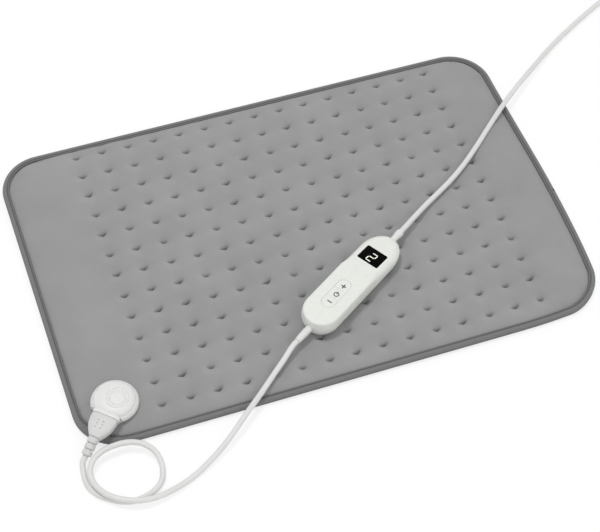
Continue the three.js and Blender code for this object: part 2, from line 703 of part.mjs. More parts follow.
function plugSection(x, shrink, squareness) {
  const share = THREE.MathUtils.clamp((x - plugFront) / PLUG_LENGTH, 0, 1);
  const next = Math.max(PLUG_PROFILE.findIndex(([at]) => at >= share), 1);
  const [at0, width0, height0] = PLUG_PROFILE[next - 1];
  const [at1, width1, height1] = PLUG_PROFILE[next];
  const halfWidth = THREE.MathUtils.mapLinear(share, at0, at1, width0, width1) - shrink;
  const halfHeight = THREE.MathUtils.mapLinear(share, at0, at1, height0, height1) - shrink;
  const middle = pinHeight - PLUG_DROP * share ** 2;
  return squareRing(x, halfWidth, halfHeight, middle, squareness);
}

function plugShell() {
  const collarAt = (x) => squareRing(x, COLLAR_HALF_WIDTH, COLLAR_HALF_HEIGHT, pinHeight, PLUG_SQUARENESS);
  const stations = PLUG_PROFILE.map(([share]) => plugFront + share * PLUG_LENGTH);
  const body = stations.map((x) => plugSection(x, 0, PLUG_SQUARENESS));
  const outside = loft([collarAt(collarFront), collarAt(plugFront), ...body]);
  const hollowStations = [cavityFront, ...stations.slice(1, 4)];
  const hollow = loft(hollowStations.map((x) => plugSection(x, PLUG_WALL, PLUG_SQUARENESS)));
  const tongueHole = box(
    [collarFront - 1, cavityFront + GAP],
    [-tongueHalf - GAP, tongueHalf + GAP],
    [tongueBottom - GAP, tongueTop + GAP],
  );
  const bootHole = rod(BOOT_ROOT + GAP, -BOOT_ROOT_LENGTH - GAP, BOOT_LENGTH).applyMatrix4(bootFrame);
  return cut(outside, hollow, tongueHole, bootHole);
}

function plugHalf(low, high) {
  const reach = COLLAR_HALF_WIDTH + 1;
  return common(plugShell(), box([collarFront - 1, plugEnd + 1], [-reach, reach], [low, high]));
}

function contactCarrier() {
  const backEnd = cavityFront + GAP + EAR_LENGTH;
  const tongue = box([TONGUE_BACK, backEnd], [-tongueHalf, tongueHalf], [tongueBottom, tongueTop]);
  const ears = box(
    [cavityFront + GAP, backEnd],
    [-EAR_HALF_WIDTH, EAR_HALF_WIDTH],
    [pinHeight - EAR_HEIGHT / 2, pinHeight + EAR_HEIGHT / 2],
  );
  const half = CONTACT / 2 + GAP;
  const bores = pinRows.map((y) => box(
    [TONGUE_BACK - 1, backEnd + 1],
    [y - half, y + half],
    [pinHeight - half, pinHeight + half],
  ));
  return cut(join(tongue, ears), ...bores);
}

function plugContact() {
  const start = TONGUE_BACK + GAP;
  const half = CONTACT / 2;
  const bore = PIN / 2 + CONTACT_WALL_CLEARANCE;
  const body = box([start, start + CONTACT_LENGTH], [-half, half], [pinHeight - half, pinHeight + half]);
  const hole = box([start - 1, start + CONTACT_DEPTH], [-bore, bore], [pinHeight - bore, pinHeight + bore]);
  return cut(body, hole);
}

// Ribbed boot: leaves the neck at a slant, so its first rib is trimmed level with the neck's end
function plugBoot() {
  const behind = -BOOT_WIDE * Math.sin(BOOT_TILT) - GAP;
  const profile = [[0, behind]];
  const pitch = BOOT_LENGTH / BOOT_RIBS;
  for (let rib = 0; rib < BOOT_RIBS; rib++) {
    const radius = THREE.MathUtils.lerp(BOOT_WIDE, BOOT_NARROW, rib / (BOOT_RIBS - 1));
    const start = rib === 0 ? behind : rib * pitch;
    profile.push([radius, start], [radius, (rib + 0.6) * pitch]);
    if (rib + 1 < BOOT_RIBS) {
      const floor = radius - BOOT_GROOVE;
      profile.push([floor, (rib + 0.68) * pitch], [floor, (rib + 0.92) * pitch]);
    }
  }
  profile.push([BOOT_NARROW - BOOT_GROOVE / 2, BOOT_LENGTH], [0, BOOT_LENGTH]);
  const ribs = turned(profile, 14).applyMatrix4(bootFrame);
  const neck = box([0, plugEnd + GAP], [-BOOT_WIDE - 1, BOOT_WIDE + 1], [0, domeTop]);
  const root = rod(BOOT_ROOT, -BOOT_ROOT_LENGTH, BOOT_LENGTH / 2).applyMatrix4(bootFrame);
  return join(cut(ribs, neck), root);
}

add(plug, 'plug_lower_shell', plugHalf(0, plugParting - GAP / 2), greyShell);
add(plug, 'plug_upper_shell', plugHalf(plugParting + GAP / 2, domeTop + COLLAR_HALF_HEIGHT), greyShell);
add(plug, 'plug_contact_carrier', contactCarrier(), darkPlastic);
pinRows.forEach((y, i) => {
  add(plug, `plug_contact_${i + 1}`, plugContact().translate(0, y, 0), bareBrass);
});
add(plug, 'plug_boot', plugBoot(), greyShell);

// Hand control: two shells screwed together round a circuit board
const controlX = CONTROL_FROM_LEFT - PAD_LENGTH / 2;
const controlY = CONTROL_FROM_NEAR - PAD_WIDTH / 2;
const control = groupAt(frameAt(controlX, controlY, PAD_CROWN + GAP, CONTROL_TURN));
heatingPad.add(control);
const lowerTop = CONTROL_PARTING - GAP / 2;
const upperBottom = CONTROL_PARTING + GAP / 2;
const roofBottom = CONTROL_HEIGHT - CONTROL_WALL;
const boardTop = BOARD_HEIGHT + BOARD_THICKNESS;
const partBottom = boardTop + GAP;
const slopeFrame = new THREE.Matrix4().makeRotationY(SLOPE).setPosition(CREASE_X, 0, CONTROL_HEIGHT);
const screwX = CONTROL_LENGTH / 2 - SCREW_FROM_END;
const screwPlaces = [-screwX, screwX].flatMap((x) => [-SCREW_Y, SCREW_Y].map((y) => [x, y]));
const headBossRadius = SCREW_HEAD + GAP + HEAD_BOSS_WALL;
const boardHalfLength = screwX - headBossRadius - BOARD_END_CLEARANCE;
const boardHalfWidth = CONTROL_WIDTH / 2 - CONTROL_WALL - BOARD_SIDE_CLEARANCE;

function controlRing(inset, z) {
  const half = CONTROL_LENGTH / 2;
  const ends = [
    [half - CONTROL_FAR_ROUND, CONTROL_FAR_ROUND, -0.5],
    [CONTROL_NEAR_ROUND - half, CONTROL_NEAR_ROUND, 0.5],
  ];
  return ends.flatMap(([middle, round, from]) => Array.from({ length: CONTROL_END_STEPS + 1 }, (_, step) => {
    const angle = (from + step / CONTROL_END_STEPS) * Math.PI;
    const x = middle + (round - inset) * Math.cos(angle);
    const y = (CONTROL_WIDTH / 2 - inset) * Math.sin(angle);
    return new THREE.Vector3(x, y, z);
  }));
}

// Everything above the sloped top, or above a plane below it
function aboveSlope(depth) {
  const slab = box([0, CONTROL_LENGTH], [-CONTROL_WIDTH, CONTROL_WIDTH], [-depth, CONTROL_HEIGHT]);
  return slab.applyMatrix4(slopeFrame);
}

function roofUnder(x) {
  return roofBottom - Math.max(x - CREASE_X, 0) * Math.tan(SLOPE);
}

function glandHoles() {
  const hole = rod(GLAND_RADIUS + GAP, -CONTROL_LENGTH, CONTROL_LENGTH).rotateY(Math.PI / 2);
  return hole.translate(0, 0, GLAND_HEIGHT);
}

function controlLowerShell() {
  const outside = loft([
    ...CONTROL_LOWER_EDGE.map(([inset, rise]) => controlRing(inset, rise)),
    controlRing(CONTROL_FLARE, CONTROL_PARTING * 0.65),
    controlRing(0, lowerTop),
  ]);
  const hollow = loft([
    ...CONTROL_LOWER_EDGE.slice(1).map(([inset, rise]) => {
      return controlRing(CONTROL_WALL + inset, CONTROL_WALL + rise - CONTROL_LOWER_EDGE[1][1]);
    }),
    controlRing(CONTROL_WALL + CONTROL_FLARE, CONTROL_PARTING * 0.65),
    controlRing(CONTROL_WALL, CONTROL_PARTING + 1),
  ]);
  const postX = [-1, 1].map((side) => side * (boardHalfLength - POST_INSET));
  const postY = [-1, 1].map((side) => side * (boardHalfWidth - POST_INSET));
  const posts = postX.flatMap((x) => postY.map((y) => {
    return rod(POST_RADIUS, CONTROL_WALL / 2, BOARD_HEIGHT - GAP, 10).translate(x, y, 0);
  }));
  const headBosses = screwPlaces.map(([x, y]) => {
    return rod(headBossRadius, CONTROL_WALL / 2, lowerTop, 16).translate(x, y, 0);
  });
  const screwHoles = screwPlaces.map(([x, y]) => turned([
    [0, -1],
    [SCREW_HEAD + GAP, -1],
    [SCREW_HEAD + GAP, SCREW_SUNK + SCREW_HEAD_HEIGHT + GAP],
    [SCREW_RADIUS + GAP, SCREW_SUNK + SCREW_HEAD_HEIGHT + GAP],
    [SCREW_RADIUS + GAP, CONTROL_PARTING + 1],
    [0, CONTROL_PARTING + 1],
  ], 12).translate(x, y, 0));
  const bosses = common(join(posts[0], ...posts.slice(1), ...headBosses), outside);
  return cut(join(cut(outside, hollow), bosses), glandHoles(), ...screwHoles);
}

function stadium(grow, low, high) {
  const length = KEYPAD_LENGTH + 2 * grow;
  const width = KEYPAD_WIDTH + 2 * grow;
  const ring = (z) => roundedRing(length, width, width / 2 - 0.01, z, 5);
  return loft([ring(low), ring(high)]).translate(KEYPAD_X, 0, 0);
}

function controlUpperShell() {
  const outside = cut(loft([
    controlRing(0, upperBottom),
    ...CONTROL_UPPER_EDGE.map(([inset, drop]) => controlRing(inset, CONTROL_HEIGHT - drop)),
  ]), aboveSlope(0));
  const hollow = cut(loft([
    controlRing(CONTROL_WALL, upperBottom - 1),
    controlRing(CONTROL_WALL + CONTROL_UPPER_EDGE[0][0], roofBottom - CONTROL_UPPER_EDGE[1][1]),
    controlRing(CONTROL_WALL + CONTROL_UPPER_EDGE[2][0], roofBottom),
  ]), aboveSlope(CONTROL_WALL));
  const bosses = screwPlaces.map(([x, y]) => {
    const top = roofUnder(x + BOSS_RADIUS) + CONTROL_WALL / 2;
    return rod(BOSS_RADIUS, upperBottom, top, 14).translate(x, y, 0);
  });
  const screwHoles = screwPlaces.map(([x, y]) => {
    return rod(SCREW_RADIUS + GAP, 0, upperBottom + SCREW_BITE + GAP, 12).translate(x, y, 0);
  });
  const halfLength = WINDOW_LENGTH / 2;
  const halfWidth = WINDOW_WIDTH / 2;
  const windowAt = (grow) => [
    [WINDOW_FROM_CREASE - halfLength - grow, WINDOW_FROM_CREASE + halfLength + grow],
    [-halfWidth - grow, halfWidth + grow],
  ];
  const seat = box(...windowAt(GAP), [-WINDOW_SUNK - WINDOW_THICKNESS - GAP, 1]).applyMatrix4(slopeFrame);
  const sight = box(...windowAt(-WINDOW_LEDGE), [-2 * CONTROL_WALL, 1]).applyMatrix4(slopeFrame);
  const keyOpening = stadium(SLIDE, roofBottom - 1, CONTROL_HEIGHT + 1);
  return cut(join(cut(outside, hollow), ...bosses), glandHoles(), ...screwHoles, seat, sight, keyOpening);
}

function screw() {
  return turned([
    [0, SCREW_SUNK],
    [SCREW_HEAD, SCREW_SUNK],
    [SCREW_HEAD, SCREW_SUNK + SCREW_HEAD_HEIGHT],
    [SCREW_RADIUS, SCREW_SUNK + SCREW_HEAD_HEIGHT],
    [SCREW_RADIUS, upperBottom + SCREW_BITE],
    [0, upperBottom + SCREW_BITE],
  ], 12);
}

// Keys: the outline of the keypad cut into three, each with a lip under the shell and a stem
const keySplit = KEY_MIDDLE_LENGTH / 2;
const keyEnd = KEYPAD_LENGTH / 2 + KEY_FLANGE_LIP;
const keySpans = [
  [-keyEnd, -keySplit - SLIDE / 2],
  [SLIDE / 2 - keySplit, keySplit - SLIDE / 2],
  [keySplit + SLIDE / 2, keyEnd],
];
const keyNames = ['minus', 'power', 'plus'];
const keyFlangeTop = roofBottom - GAP;
const keyFlangeBottom = keyFlangeTop - KEY_FLANGE;
const plungerTop = partBottom + SWITCH_HEIGHT + PLUNGER_RISE;
const keyMiddles = [
  KEYPAD_X - (keySplit + KEYPAD_LENGTH / 2) / 2,
  KEYPAD_X,
  KEYPAD_X + (keySplit + KEYPAD_LENGTH / 2) / 2,
];

function key(index) {
  const span = keySpans[index].map((x) => KEYPAD_X + x);
  const slice = box(span, [-KEYPAD_WIDTH, KEYPAD_WIDTH], [0, CONTROL_HEIGHT + KEY_PROUD + 1]);
  const cap = common(stadium(0, keyFlangeBottom, CONTROL_HEIGHT + KEY_PROUD), slice);
  const lip = common(stadium(KEY_FLANGE_LIP, keyFlangeBottom, keyFlangeTop), slice);
  const stem = rod(KEY_STEM_RADIUS, plungerTop + GAP, keyFlangeTop, 12).translate(keyMiddles[index], 0, 0);
  return join(cap, lip, stem);
}

function switchBody() {
  const half = SWITCH_SIZE / 2;
  const body = box([-half, half], [-half, half], [partBottom, partBottom + SWITCH_HEIGHT]);
  const bore = rod(PLUNGER_RADIUS + GAP, partBottom + SWITCH_BORE_FLOOR, partBottom + SWITCH_HEIGHT + 1, 12);
  return cut(body, bore);
}

function switchPlunger() {
  return rod(PLUNGER_RADIUS, partBottom + SWITCH_BORE_FLOOR + GAP + KEY_TRAVEL, plungerTop, 12);
}

function circuitBoard() {
  const across = [-boardHalfWidth, boardHalfWidth];
  return box([-boardHalfLength, boardHalfLength], across, [BOARD_HEIGHT, boardTop]);
}

function displayModule() {
  const middle = CREASE_X + WINDOW_FROM_CREASE;
  const outline = (z) => roundedRing(MODULE_LENGTH, MODULE_WIDTH, MODULE_CORNER, z, 2);
  return loft([outline(partBottom), outline(partBottom + MODULE_HEIGHT)]).translate(middle, 0, 0);
}

function displayWindow() {
  const outline = (z) => roundedRing(WINDOW_LENGTH, WINDOW_WIDTH, WINDOW_CORNER, z, 2);
  const lens = loft([outline(-WINDOW_SUNK - WINDOW_THICKNESS), outline(-WINDOW_SUNK)]);
  return lens.translate(WINDOW_FROM_CREASE, 0, 0);
}

// Gland: a sleeve on the cord, its lip held inside the end wall of the shells
function gland(reach) {
  const wallInside = CONTROL_LENGTH / 2 - CONTROL_WALL - GLAND_SET_BACK;
  const tip = CONTROL_LENGTH / 2 + reach;
  return turned([
    [0, wallInside - GLAND_FLANGE],
    [GLAND_RADIUS + GLAND_FLANGE_LIP, wallInside - GLAND_FLANGE],
    [GLAND_RADIUS + GLAND_FLANGE_LIP, wallInside],
    [GLAND_RADIUS, wallInside],
    [GLAND_RADIUS, tip - 2 * GLAND_RADIUS],
    [GLAND_TIP_RADIUS, tip],
    [0, tip],
  ], 14).rotateY(Math.PI / 2);
}

function boardBlock({ x, y, length, width, height }) {
  const block = new THREE.BoxGeometry(length, width, height);
  return block.translate(x, y, partBottom + height / 2);
}

function fuse() {
  const tube = rod(FUSE_RADIUS, -FUSE_LENGTH / 2, FUSE_LENGTH / 2, 10).rotateX(Math.PI / 2);
  return tube.translate(FUSE_X, 0, partBottom + FUSE_RADIUS);
}

add(control, 'control_lower_shell', controlLowerShell(), whiteShell);
add(control, 'control_upper_shell', controlUpperShell(), whiteShell);
screwPlaces.forEach(([x, y], i) => {
  add(control, `control_screw_${i + 1}`, screw().translate(x, y, 0), platedSteel);
});
add(control, 'circuit_board', circuitBoard(), boardGreen);
keyNames.forEach((name, i) => {
  add(control, `key_${name}`, key(i), whiteShell);
  add(control, `switch_body_${name}`, switchBody().translate(keyMiddles[i], 0, 0), darkPlastic);
  add(control, `switch_plunger_${name}`, switchPlunger().translate(keyMiddles[i], 0, 0), whiteShell);
});
add(control, 'display_module', displayModule(), darkPlastic);
const display = groupAt(slopeFrame);
control.add(display);
add(display, 'display_window', displayWindow(), blackLens);
add(control, 'pad_cord_gland', gland(GLAND_NEAR).rotateZ(Math.PI).translate(0, 0, GLAND_HEIGHT), cordJacket);
add(control, 'mains_cord_gland', gland(GLAND_FAR).translate(0, 0, GLAND_HEIGHT), cordJacket);
add(control, 'suppression_capacitor', boardBlock(CAPACITOR), capFilm);
add(control, 'triac', boardBlock(TRIAC), darkPlastic);
add(control, 'fuse', fuse(), fuseGlass);
add(control, 'control_chip', boardBlock(CHIP), darkPlastic);

// Cords: free runs between the plug, the control and the coil
function cordSection() {
  return new THREE.Shape(Array.from({ length: CORD_SIDES }, (_, i) => {
    const angle = i / CORD_SIDES * 2 * Math.PI;
    return new THREE.Vector2(CORD / 2 * Math.cos(angle), CORD / 2 * Math.sin(angle));
  }));
}

function freeCord(points, steps) {
  const extrudePath = new THREE.CatmullRomCurve3(points);
  return new THREE.ExtrudeGeometry(cordSection(), { steps, bevelEnabled: false, extrudePath });
}

// Where a cord leaves a piece: its end face, and a point straight out from there
function leaves(frame, axis, tip) {
  return [tip + GAP, tip + GAP + CORD].map((reach) => axis.clone().setLength(reach).applyMatrix4(frame));
}

const bootWorld = new THREE.Matrix4().multiplyMatrices(socketFrame, bootFrame);
const glandFrame = control.matrix.clone().multiply(new THREE.Matrix4().makeTranslation(0, 0, GLAND_HEIGHT));
const bootExit = leaves(bootWorld, new THREE.Vector3(0, 0, 1), BOOT_LENGTH);
const nearExit = leaves(glandFrame, new THREE.Vector3(-1, 0, 0), CONTROL_LENGTH / 2 + GLAND_NEAR);
const farExit = leaves(glandFrame, new THREE.Vector3(1, 0, 0), CONTROL_LENGTH / 2 + GLAND_FAR);
const asPoints = (route) => route.map(([x, y, z]) => new THREE.Vector3(x, y, z));

// Coil: in to the middle on the lower layer, up a layer where the spiral reverses, and out on the upper one
const coilPitch = CORD + COIL_GAP;
const coilLow = FLOOR_CLEARANCE + TIE_THICKNESS + GAP + CORD / 2;
const coilReverse = COIL_START + COIL_TURNS * 2 * Math.PI;

function coilPoint(turn) {
  const radius = COIL_INNER + coilPitch * Math.abs(turn);
  const angle = coilReverse + turn * 2 * Math.PI;
  const climb = THREE.MathUtils.clamp(turn * 2 + 0.5, 0, 1);
  const x = COIL_X + radius * Math.cos(angle);
  return new THREE.Vector3(x, COIL_Y + radius * Math.sin(angle), coilLow + coilPitch * climb);
}

function coilPoints(stepsPerTurn) {
  const count = Math.round(2 * COIL_TURNS * stepsPerTurn);
  return Array.from({ length: count + 1 }, (_, i) => coilPoint(COIL_TURNS * (2 * i / count - 1)));
}

function leastSelfGap() {
  const fine = 8 * COIL_STEPS;
  const points = coilPoints(fine);
  let least = Infinity;
  for (let i = 0; i < points.length; i++) {
    for (let j = i + fine / 2; j < points.length; j++) {
      least = Math.min(least, points[i].distanceTo(points[j]));
    }
  }
  return least - CORD;
}

const turns = coilPoints(COIL_STEPS);
const coilIn = turns[1].clone().sub(turns[0]).normalize();
const coilOut = turns.at(-1).clone().sub(turns.at(-2)).normalize();
const coilStart = turns[0].clone().addScaledVector(coilIn, -CORD);
const coilEnd = turns.at(-1).clone().addScaledVector(coilOut, COIL_LEAD);
const mainsAxis = MAINS_BODY_HALF_HEIGHT + FLOOR_CLEARANCE + GAP;
coilEnd.z = mainsAxis;
const meetsBoot = coilEnd.clone().addScaledVector(coilOut, -CORD);
const coilPath = [coilStart, ...turns, meetsBoot, coilEnd];
const meetsCoil = coilStart.clone().addScaledVector(coilIn, -GAP);
const beforeCoil = coilStart.clone().addScaledVector(coilIn, -CORD_STRAIGHT);

// Tie: a strap round the coil's section, sized from the turns it holds
function coilTie() {
  const radial = new THREE.Vector2(Math.cos(TIE_ANGLE), Math.sin(TIE_ANGLE));
  const held = coilPoints(8 * COIL_STEPS).map((point) => {
    const offset = new THREE.Vector2(point.x - COIL_X, point.y - COIL_Y);
    return { out: offset.dot(radial), across: Math.abs(offset.cross(radial)), z: point.z };
  }).filter((point) => point.out > 0 && point.across < TIE_WIDTH / 2 + 1);
  const outs = held.map((point) => point.out);
  const heights = held.map((point) => point.z);
  const reach = CORD / 2 + GAP;
  const inner = [Math.min(...outs) - reach - TIE_CLEARANCE, Math.max(...outs) + reach + TIE_CLEARANCE];
  const tall = [Math.min(...heights) - reach, Math.max(...heights) + reach];
  const half = TIE_WIDTH / 2;
  const strap = box(
    [inner[0] - TIE_THICKNESS, inner[1] + TIE_THICKNESS],
    [-half, half],
    [tall[0] - TIE_THICKNESS, tall[1] + TIE_THICKNESS],
  );
  return cut(strap, box(inner, [-half - 1, half + 1], tall));
}

const padRun = [...bootExit, ...asPoints(PAD_CORD_ROUTE), ...nearExit.toReversed()];
const mainsRun = [...farExit, ...asPoints(MAINS_CORD_ROUTE), beforeCoil, meetsCoil];
add(heatingPad, 'pad_cord', freeCord(padRun, PAD_CORD_STEPS), cordJacket);
add(heatingPad, 'mains_cord', freeCord(mainsRun, MAINS_CORD_STEPS), cordJacket);
add(heatingPad, 'mains_cord_coil', sweep(coilPath, CORD / 2, COIL_SIDES), cordJacket);
const tie = groupAt(frameAt(COIL_X, COIL_Y, 0, TIE_ANGLE));
heatingPad.add(tie);
add(tie, 'coil_tie', coilTie(), darkPlastic);
console.log(`least gap of the coil to itself: ${leastSelfGap().toFixed(2)} mm`);

// Mains plug: on the far end of the cord, lying beside the coil
const mainsTurn = Math.atan2(coilOut.y, coilOut.x);
const mainsPlug = groupAt(frameAt(coilEnd.x, coilEnd.y, mainsAxis, mainsTurn));
heatingPad.add(mainsPlug);
const bodyStart = MAINS_BOOT_LENGTH + 2 * GAP;
const bodyEnd = bodyStart + MAINS_BODY_LENGTH;

function mainsBoot() {
  const profile = [[0, GAP], [MAINS_BOOT_NARROW, GAP]];
  for (let rib = 0; rib < MAINS_BOOT_RIBS; rib++) {
    const share = (rib + 1) / MAINS_BOOT_RIBS;
    const radius = THREE.MathUtils.lerp(MAINS_BOOT_NARROW, MAINS_BOOT_WIDE, share);
    const start = GAP + (rib + 0.3) * MAINS_BOOT_LENGTH / MAINS_BOOT_RIBS;
    const end = start + 0.6 * MAINS_BOOT_LENGTH / MAINS_BOOT_RIBS;
    profile.push([radius - BOOT_GROOVE, start], [radius, start + BOOT_GROOVE / 2], [radius, end]);
  }
  profile.push([MAINS_BOOT_WIDE, MAINS_BOOT_LENGTH + GAP], [0, MAINS_BOOT_LENGTH + GAP]);
  return turned(profile, 12).rotateY(Math.PI / 2);
}

function mainsBody() {
  const body = loft(MAINS_BODY_PROFILE.map(([share, halfWidth, heightShare]) => {
    const x = bodyStart + share * MAINS_BODY_LENGTH;
    return squareRing(x, halfWidth, heightShare * MAINS_BODY_HALF_HEIGHT, 0, MAINS_BODY_SQUARENESS);
  }));
  const holes = [-1, 1].map((side) => {
    const hole = rod(MAINS_PIN_RADIUS + GAP, bodyEnd - MAINS_PIN_ROOT - GAP, bodyEnd + 1, 12);
    return hole.rotateY(Math.PI / 2).translate(0, side * MAINS_PIN_HALF_SPACING, 0);
  });
  return cut(body, ...holes);
}

function mainsPin(side) {
  const tip = bodyEnd + MAINS_PIN_LENGTH;
  const pin = turned([
    [0, bodyEnd - MAINS_PIN_ROOT],
    [MAINS_PIN_RADIUS, bodyEnd - MAINS_PIN_ROOT],
    [MAINS_PIN_RADIUS, tip - MAINS_PIN_RADIUS],
    [MAINS_PIN_RADIUS * 0.7, tip - MAINS_PIN_RADIUS * 0.3],
    [0, tip],
  ], 12).rotateY(Math.PI / 2);
  return pin.translate(0, side * MAINS_PIN_HALF_SPACING, 0);
}

add(mainsPlug, 'mains_plug_boot', mainsBoot(), whiteShell);
add(mainsPlug, 'mains_plug_body', mainsBody(), whiteShell);
add(mainsPlug, 'mains_plug_pin_1', mainsPin(-1), platedSteel);
add(mainsPlug, 'mains_plug_pin_2', mainsPin(1), platedSteel);

export default heatingPad;
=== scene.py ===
import math

import bmesh
import bpy
from mathutils import Matrix, Quaternion, Vector, noise


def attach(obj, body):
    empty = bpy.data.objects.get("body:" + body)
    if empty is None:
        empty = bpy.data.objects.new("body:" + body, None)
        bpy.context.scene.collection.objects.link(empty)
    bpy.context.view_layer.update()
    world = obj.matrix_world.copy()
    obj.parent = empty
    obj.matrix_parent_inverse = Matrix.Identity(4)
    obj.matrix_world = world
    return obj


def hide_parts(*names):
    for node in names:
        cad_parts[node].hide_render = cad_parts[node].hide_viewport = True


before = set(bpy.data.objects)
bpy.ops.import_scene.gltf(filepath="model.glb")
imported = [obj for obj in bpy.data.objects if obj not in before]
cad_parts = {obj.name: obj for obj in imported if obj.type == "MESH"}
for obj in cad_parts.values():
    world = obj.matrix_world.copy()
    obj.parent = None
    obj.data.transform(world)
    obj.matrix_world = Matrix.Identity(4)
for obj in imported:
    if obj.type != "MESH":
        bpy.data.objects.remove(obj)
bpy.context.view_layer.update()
bpy.ops.object.select_all(action="DESELECT")
scene = bpy.context.scene

# Studio: a white table in an even white room, lit by a small soft box high on the left and a weak wide
# one in front. The camera stands in front of the near left corner and looks down on the pad.
CAMERA_PLACE = (-0.3112, -0.79605, 1.1498)
CAMERA_AIM = Vector((-0.00969, -0.0359, 0.009))
CAMERA_ROLL = math.radians(2.84)
CAMERA_LENS = 102
ROOM_LIGHT = 0.7
SHADOW_LIFT = 0.72
TABLE_SIZE = 14
TABLE_HEIGHT = -0.0004
bpy.ops.object.camera_add(location=CAMERA_PLACE)
camera = bpy.context.object
aim = CAMERA_AIM - camera.location
camera.rotation_mode = "QUATERNION"
camera.rotation_quaternion = aim.to_track_quat("-Z", "Y") @ Quaternion((0, 0, 1), CAMERA_ROLL)
camera.data.sensor_fit = "HORIZONTAL"
camera.data.sensor_width = 36
camera.data.lens = CAMERA_LENS
camera.data.clip_end = 60
scene.camera = camera
scene.view_settings.view_transform = "Standard"


def soft_box(place, width, watts):
    bpy.ops.object.light_add(type="AREA", location=place)
    lamp = bpy.context.object
    lamp.rotation_euler = (-Vector(place)).to_track_quat("-Z", "Y").to_euler()
    lamp.data.shape = "DISK"
    lamp.data.size = width
    lamp.data.energy = watts


soft_box((-0.36, 0.3, 2.25), width=0.4, watts=17)
soft_box((0.6, -1.5, 1.5), width=1.0, watts=4.5)


# One socket of a finish's nodes. Arithmetic on it adds Math nodes, and node() adds any other kind.
class Thread:
    def __init__(self, tree, socket=None):
        self.tree = tree
        self.socket = socket

    def node(self, kind, settings, sockets, out=0):
        made = self.tree.nodes.new(kind)
        for name, value in settings.items():
            if name == "stops":
                for stop, (place, color) in zip(made.color_ramp.elements, value):
                    stop.position = place
                    stop.color = (*color, 1)
            else:
                setattr(made, name, value)
        for name, value in sockets.items():
            if isinstance(value, Thread):
                self.tree.links.new(value.socket, made.inputs[name])
            else:
                made.inputs[name].default_value = value
        return Thread(self.tree, made.outputs[out])

    def math(self, operation, first, second):
        return self.node("ShaderNodeMath", {"operation": operation}, {0: first, 1: second})

    def __add__(self, other):
        return self.math("ADD", self, other)

    def __mul__(self, other):
        return self.math("MULTIPLY", self, other)

    __radd__ = __add__
    __rmul__ = __mul__


world = bpy.data.worlds.new("white_room")
scene.world = world
world.use_nodes = True
room = Thread(world.node_tree)
sky = world.node_tree.nodes["Background"]


def seen_rays(start):
    camera_ray, glossy_ray, through_ray = (
        start.node("ShaderNodeLightPath", {}, {}, f"Is {kind} Ray")
        for kind in ("Camera", "Glossy", "Transmission")
    )
    return start.math("MAXIMUM", camera_ray, start.math("MAXIMUM", glossy_ray, through_ray))


sky.inputs["Color"].default_value = (1, 1, 1, 1)
room.tree.links.new((seen_rays(room) * (1 - ROOM_LIGHT) + ROOM_LIGHT).socket, sky.inputs["Strength"])


def new_finish(name, **constants):
    material = bpy.data.materials.new(name)
    material.use_nodes = True
    shader = material.node_tree.nodes["Principled BSDF"]
    for socket, value in constants.items():
        shader.inputs[socket.replace("_", " ")].default_value = value
    return material, Thread(material.node_tree)


def feed(material, **links):
    shader = material.node_tree.nodes["Principled BSDF"]
    for socket, value in links.items():
        material.node_tree.links.new(value.socket, shader.inputs[socket.replace("_", " ")])


def speckle(start, scale, detail=2.0):
    place = start.node("ShaderNodeTexCoord", {}, {}, "Object")
    return start.node("ShaderNodeTexNoise", {}, {"Vector": place, "Scale": scale, "Detail": detail})


def shades(start, value, dark, light):
    return start.node("ShaderNodeValToRGB", {"stops": ((0.25, dark), (0.75, light))}, {"Fac": value})


def relief(start, height, strength, distance):
    return start.node(
        "ShaderNodeBump", {}, {"Height": height, "Strength": strength, "Distance": distance}
    )


table_top, start = new_finish("white_table", Roughness=0.9)
grain = speckle(start, scale=30)
feed(table_top, Base_Color=shades(start, grain, (0.96, 0.96, 0.96), (0.98, 0.98, 0.98)))
white = start.node("ShaderNodeEmission", {}, {"Color": (1, 1, 1, 1), "Strength": 1.0})
lit = Thread(start.tree, start.tree.nodes["Principled BSDF"].outputs[0])
blend = start.node("ShaderNodeMixShader", {}, {0: seen_rays(start) * SHADOW_LIFT, 1: lit, 2: white})
start.tree.links.new(blend.socket, start.tree.nodes["Material Output"].inputs["Surface"])
bpy.ops.mesh.primitive_plane_add(size=TABLE_SIZE, location=(0, 0, TABLE_HEIGHT))
floor = bpy.context.object
floor.name = "table"
floor.data.materials.append(table_top)


# Back cover: a sheet of smooth grey fabric on the underside, spot-welded to the top cover at every tuft.
# Its edge is folded up into the binding.
PAD_HALF = (0.224, 0.1485)
PAD_CORNER = 0.036
SHEET_EDGE = 0.003
TUFT_FIRST = (-0.1551, -0.1278)
TUFT_PITCH = (0.02303, 0.02168)
TUFT_COUNT = (15, 13)
TUFT_ACROSS = (0, 0.0008, 0.0016, 0.0024, 0.0032, 0.0041, 0.0058, 0.0084)
TUFT_ALONG = (0, 0.0005, 0.001, 0.0015, 0.0021, 0.0029, 0.0046, 0.0078)
TUFT_WANDER = 0.0006
TUFT_SEED = (1.37, 1.61, 0.5)
TUFT_SAG = 0.0013
TUFT_SAG_RUN = 0.012
TUFT_SKEW = 0.005
SIDE_STEPS = (20, 16)
END_STEPS = (6, 3)
BACK_LOW = 0.0002
BACK_THICKNESS = 0.0008
FOLD_START = 0.016
FOLD_RUN = 0.01
FOLD_RISE = 0.0011
TUCK_RISE = 0.0007
TUCK_WIDTH = 0.005
SMOOTH_ANGLE = math.radians(32)
tuft_columns = [TUFT_FIRST[0] + TUFT_PITCH[0] * column for column in range(TUFT_COUNT[0])]
tuft_rows = [TUFT_FIRST[1] + TUFT_PITCH[1] * row for row in range(TUFT_COUNT[1])]


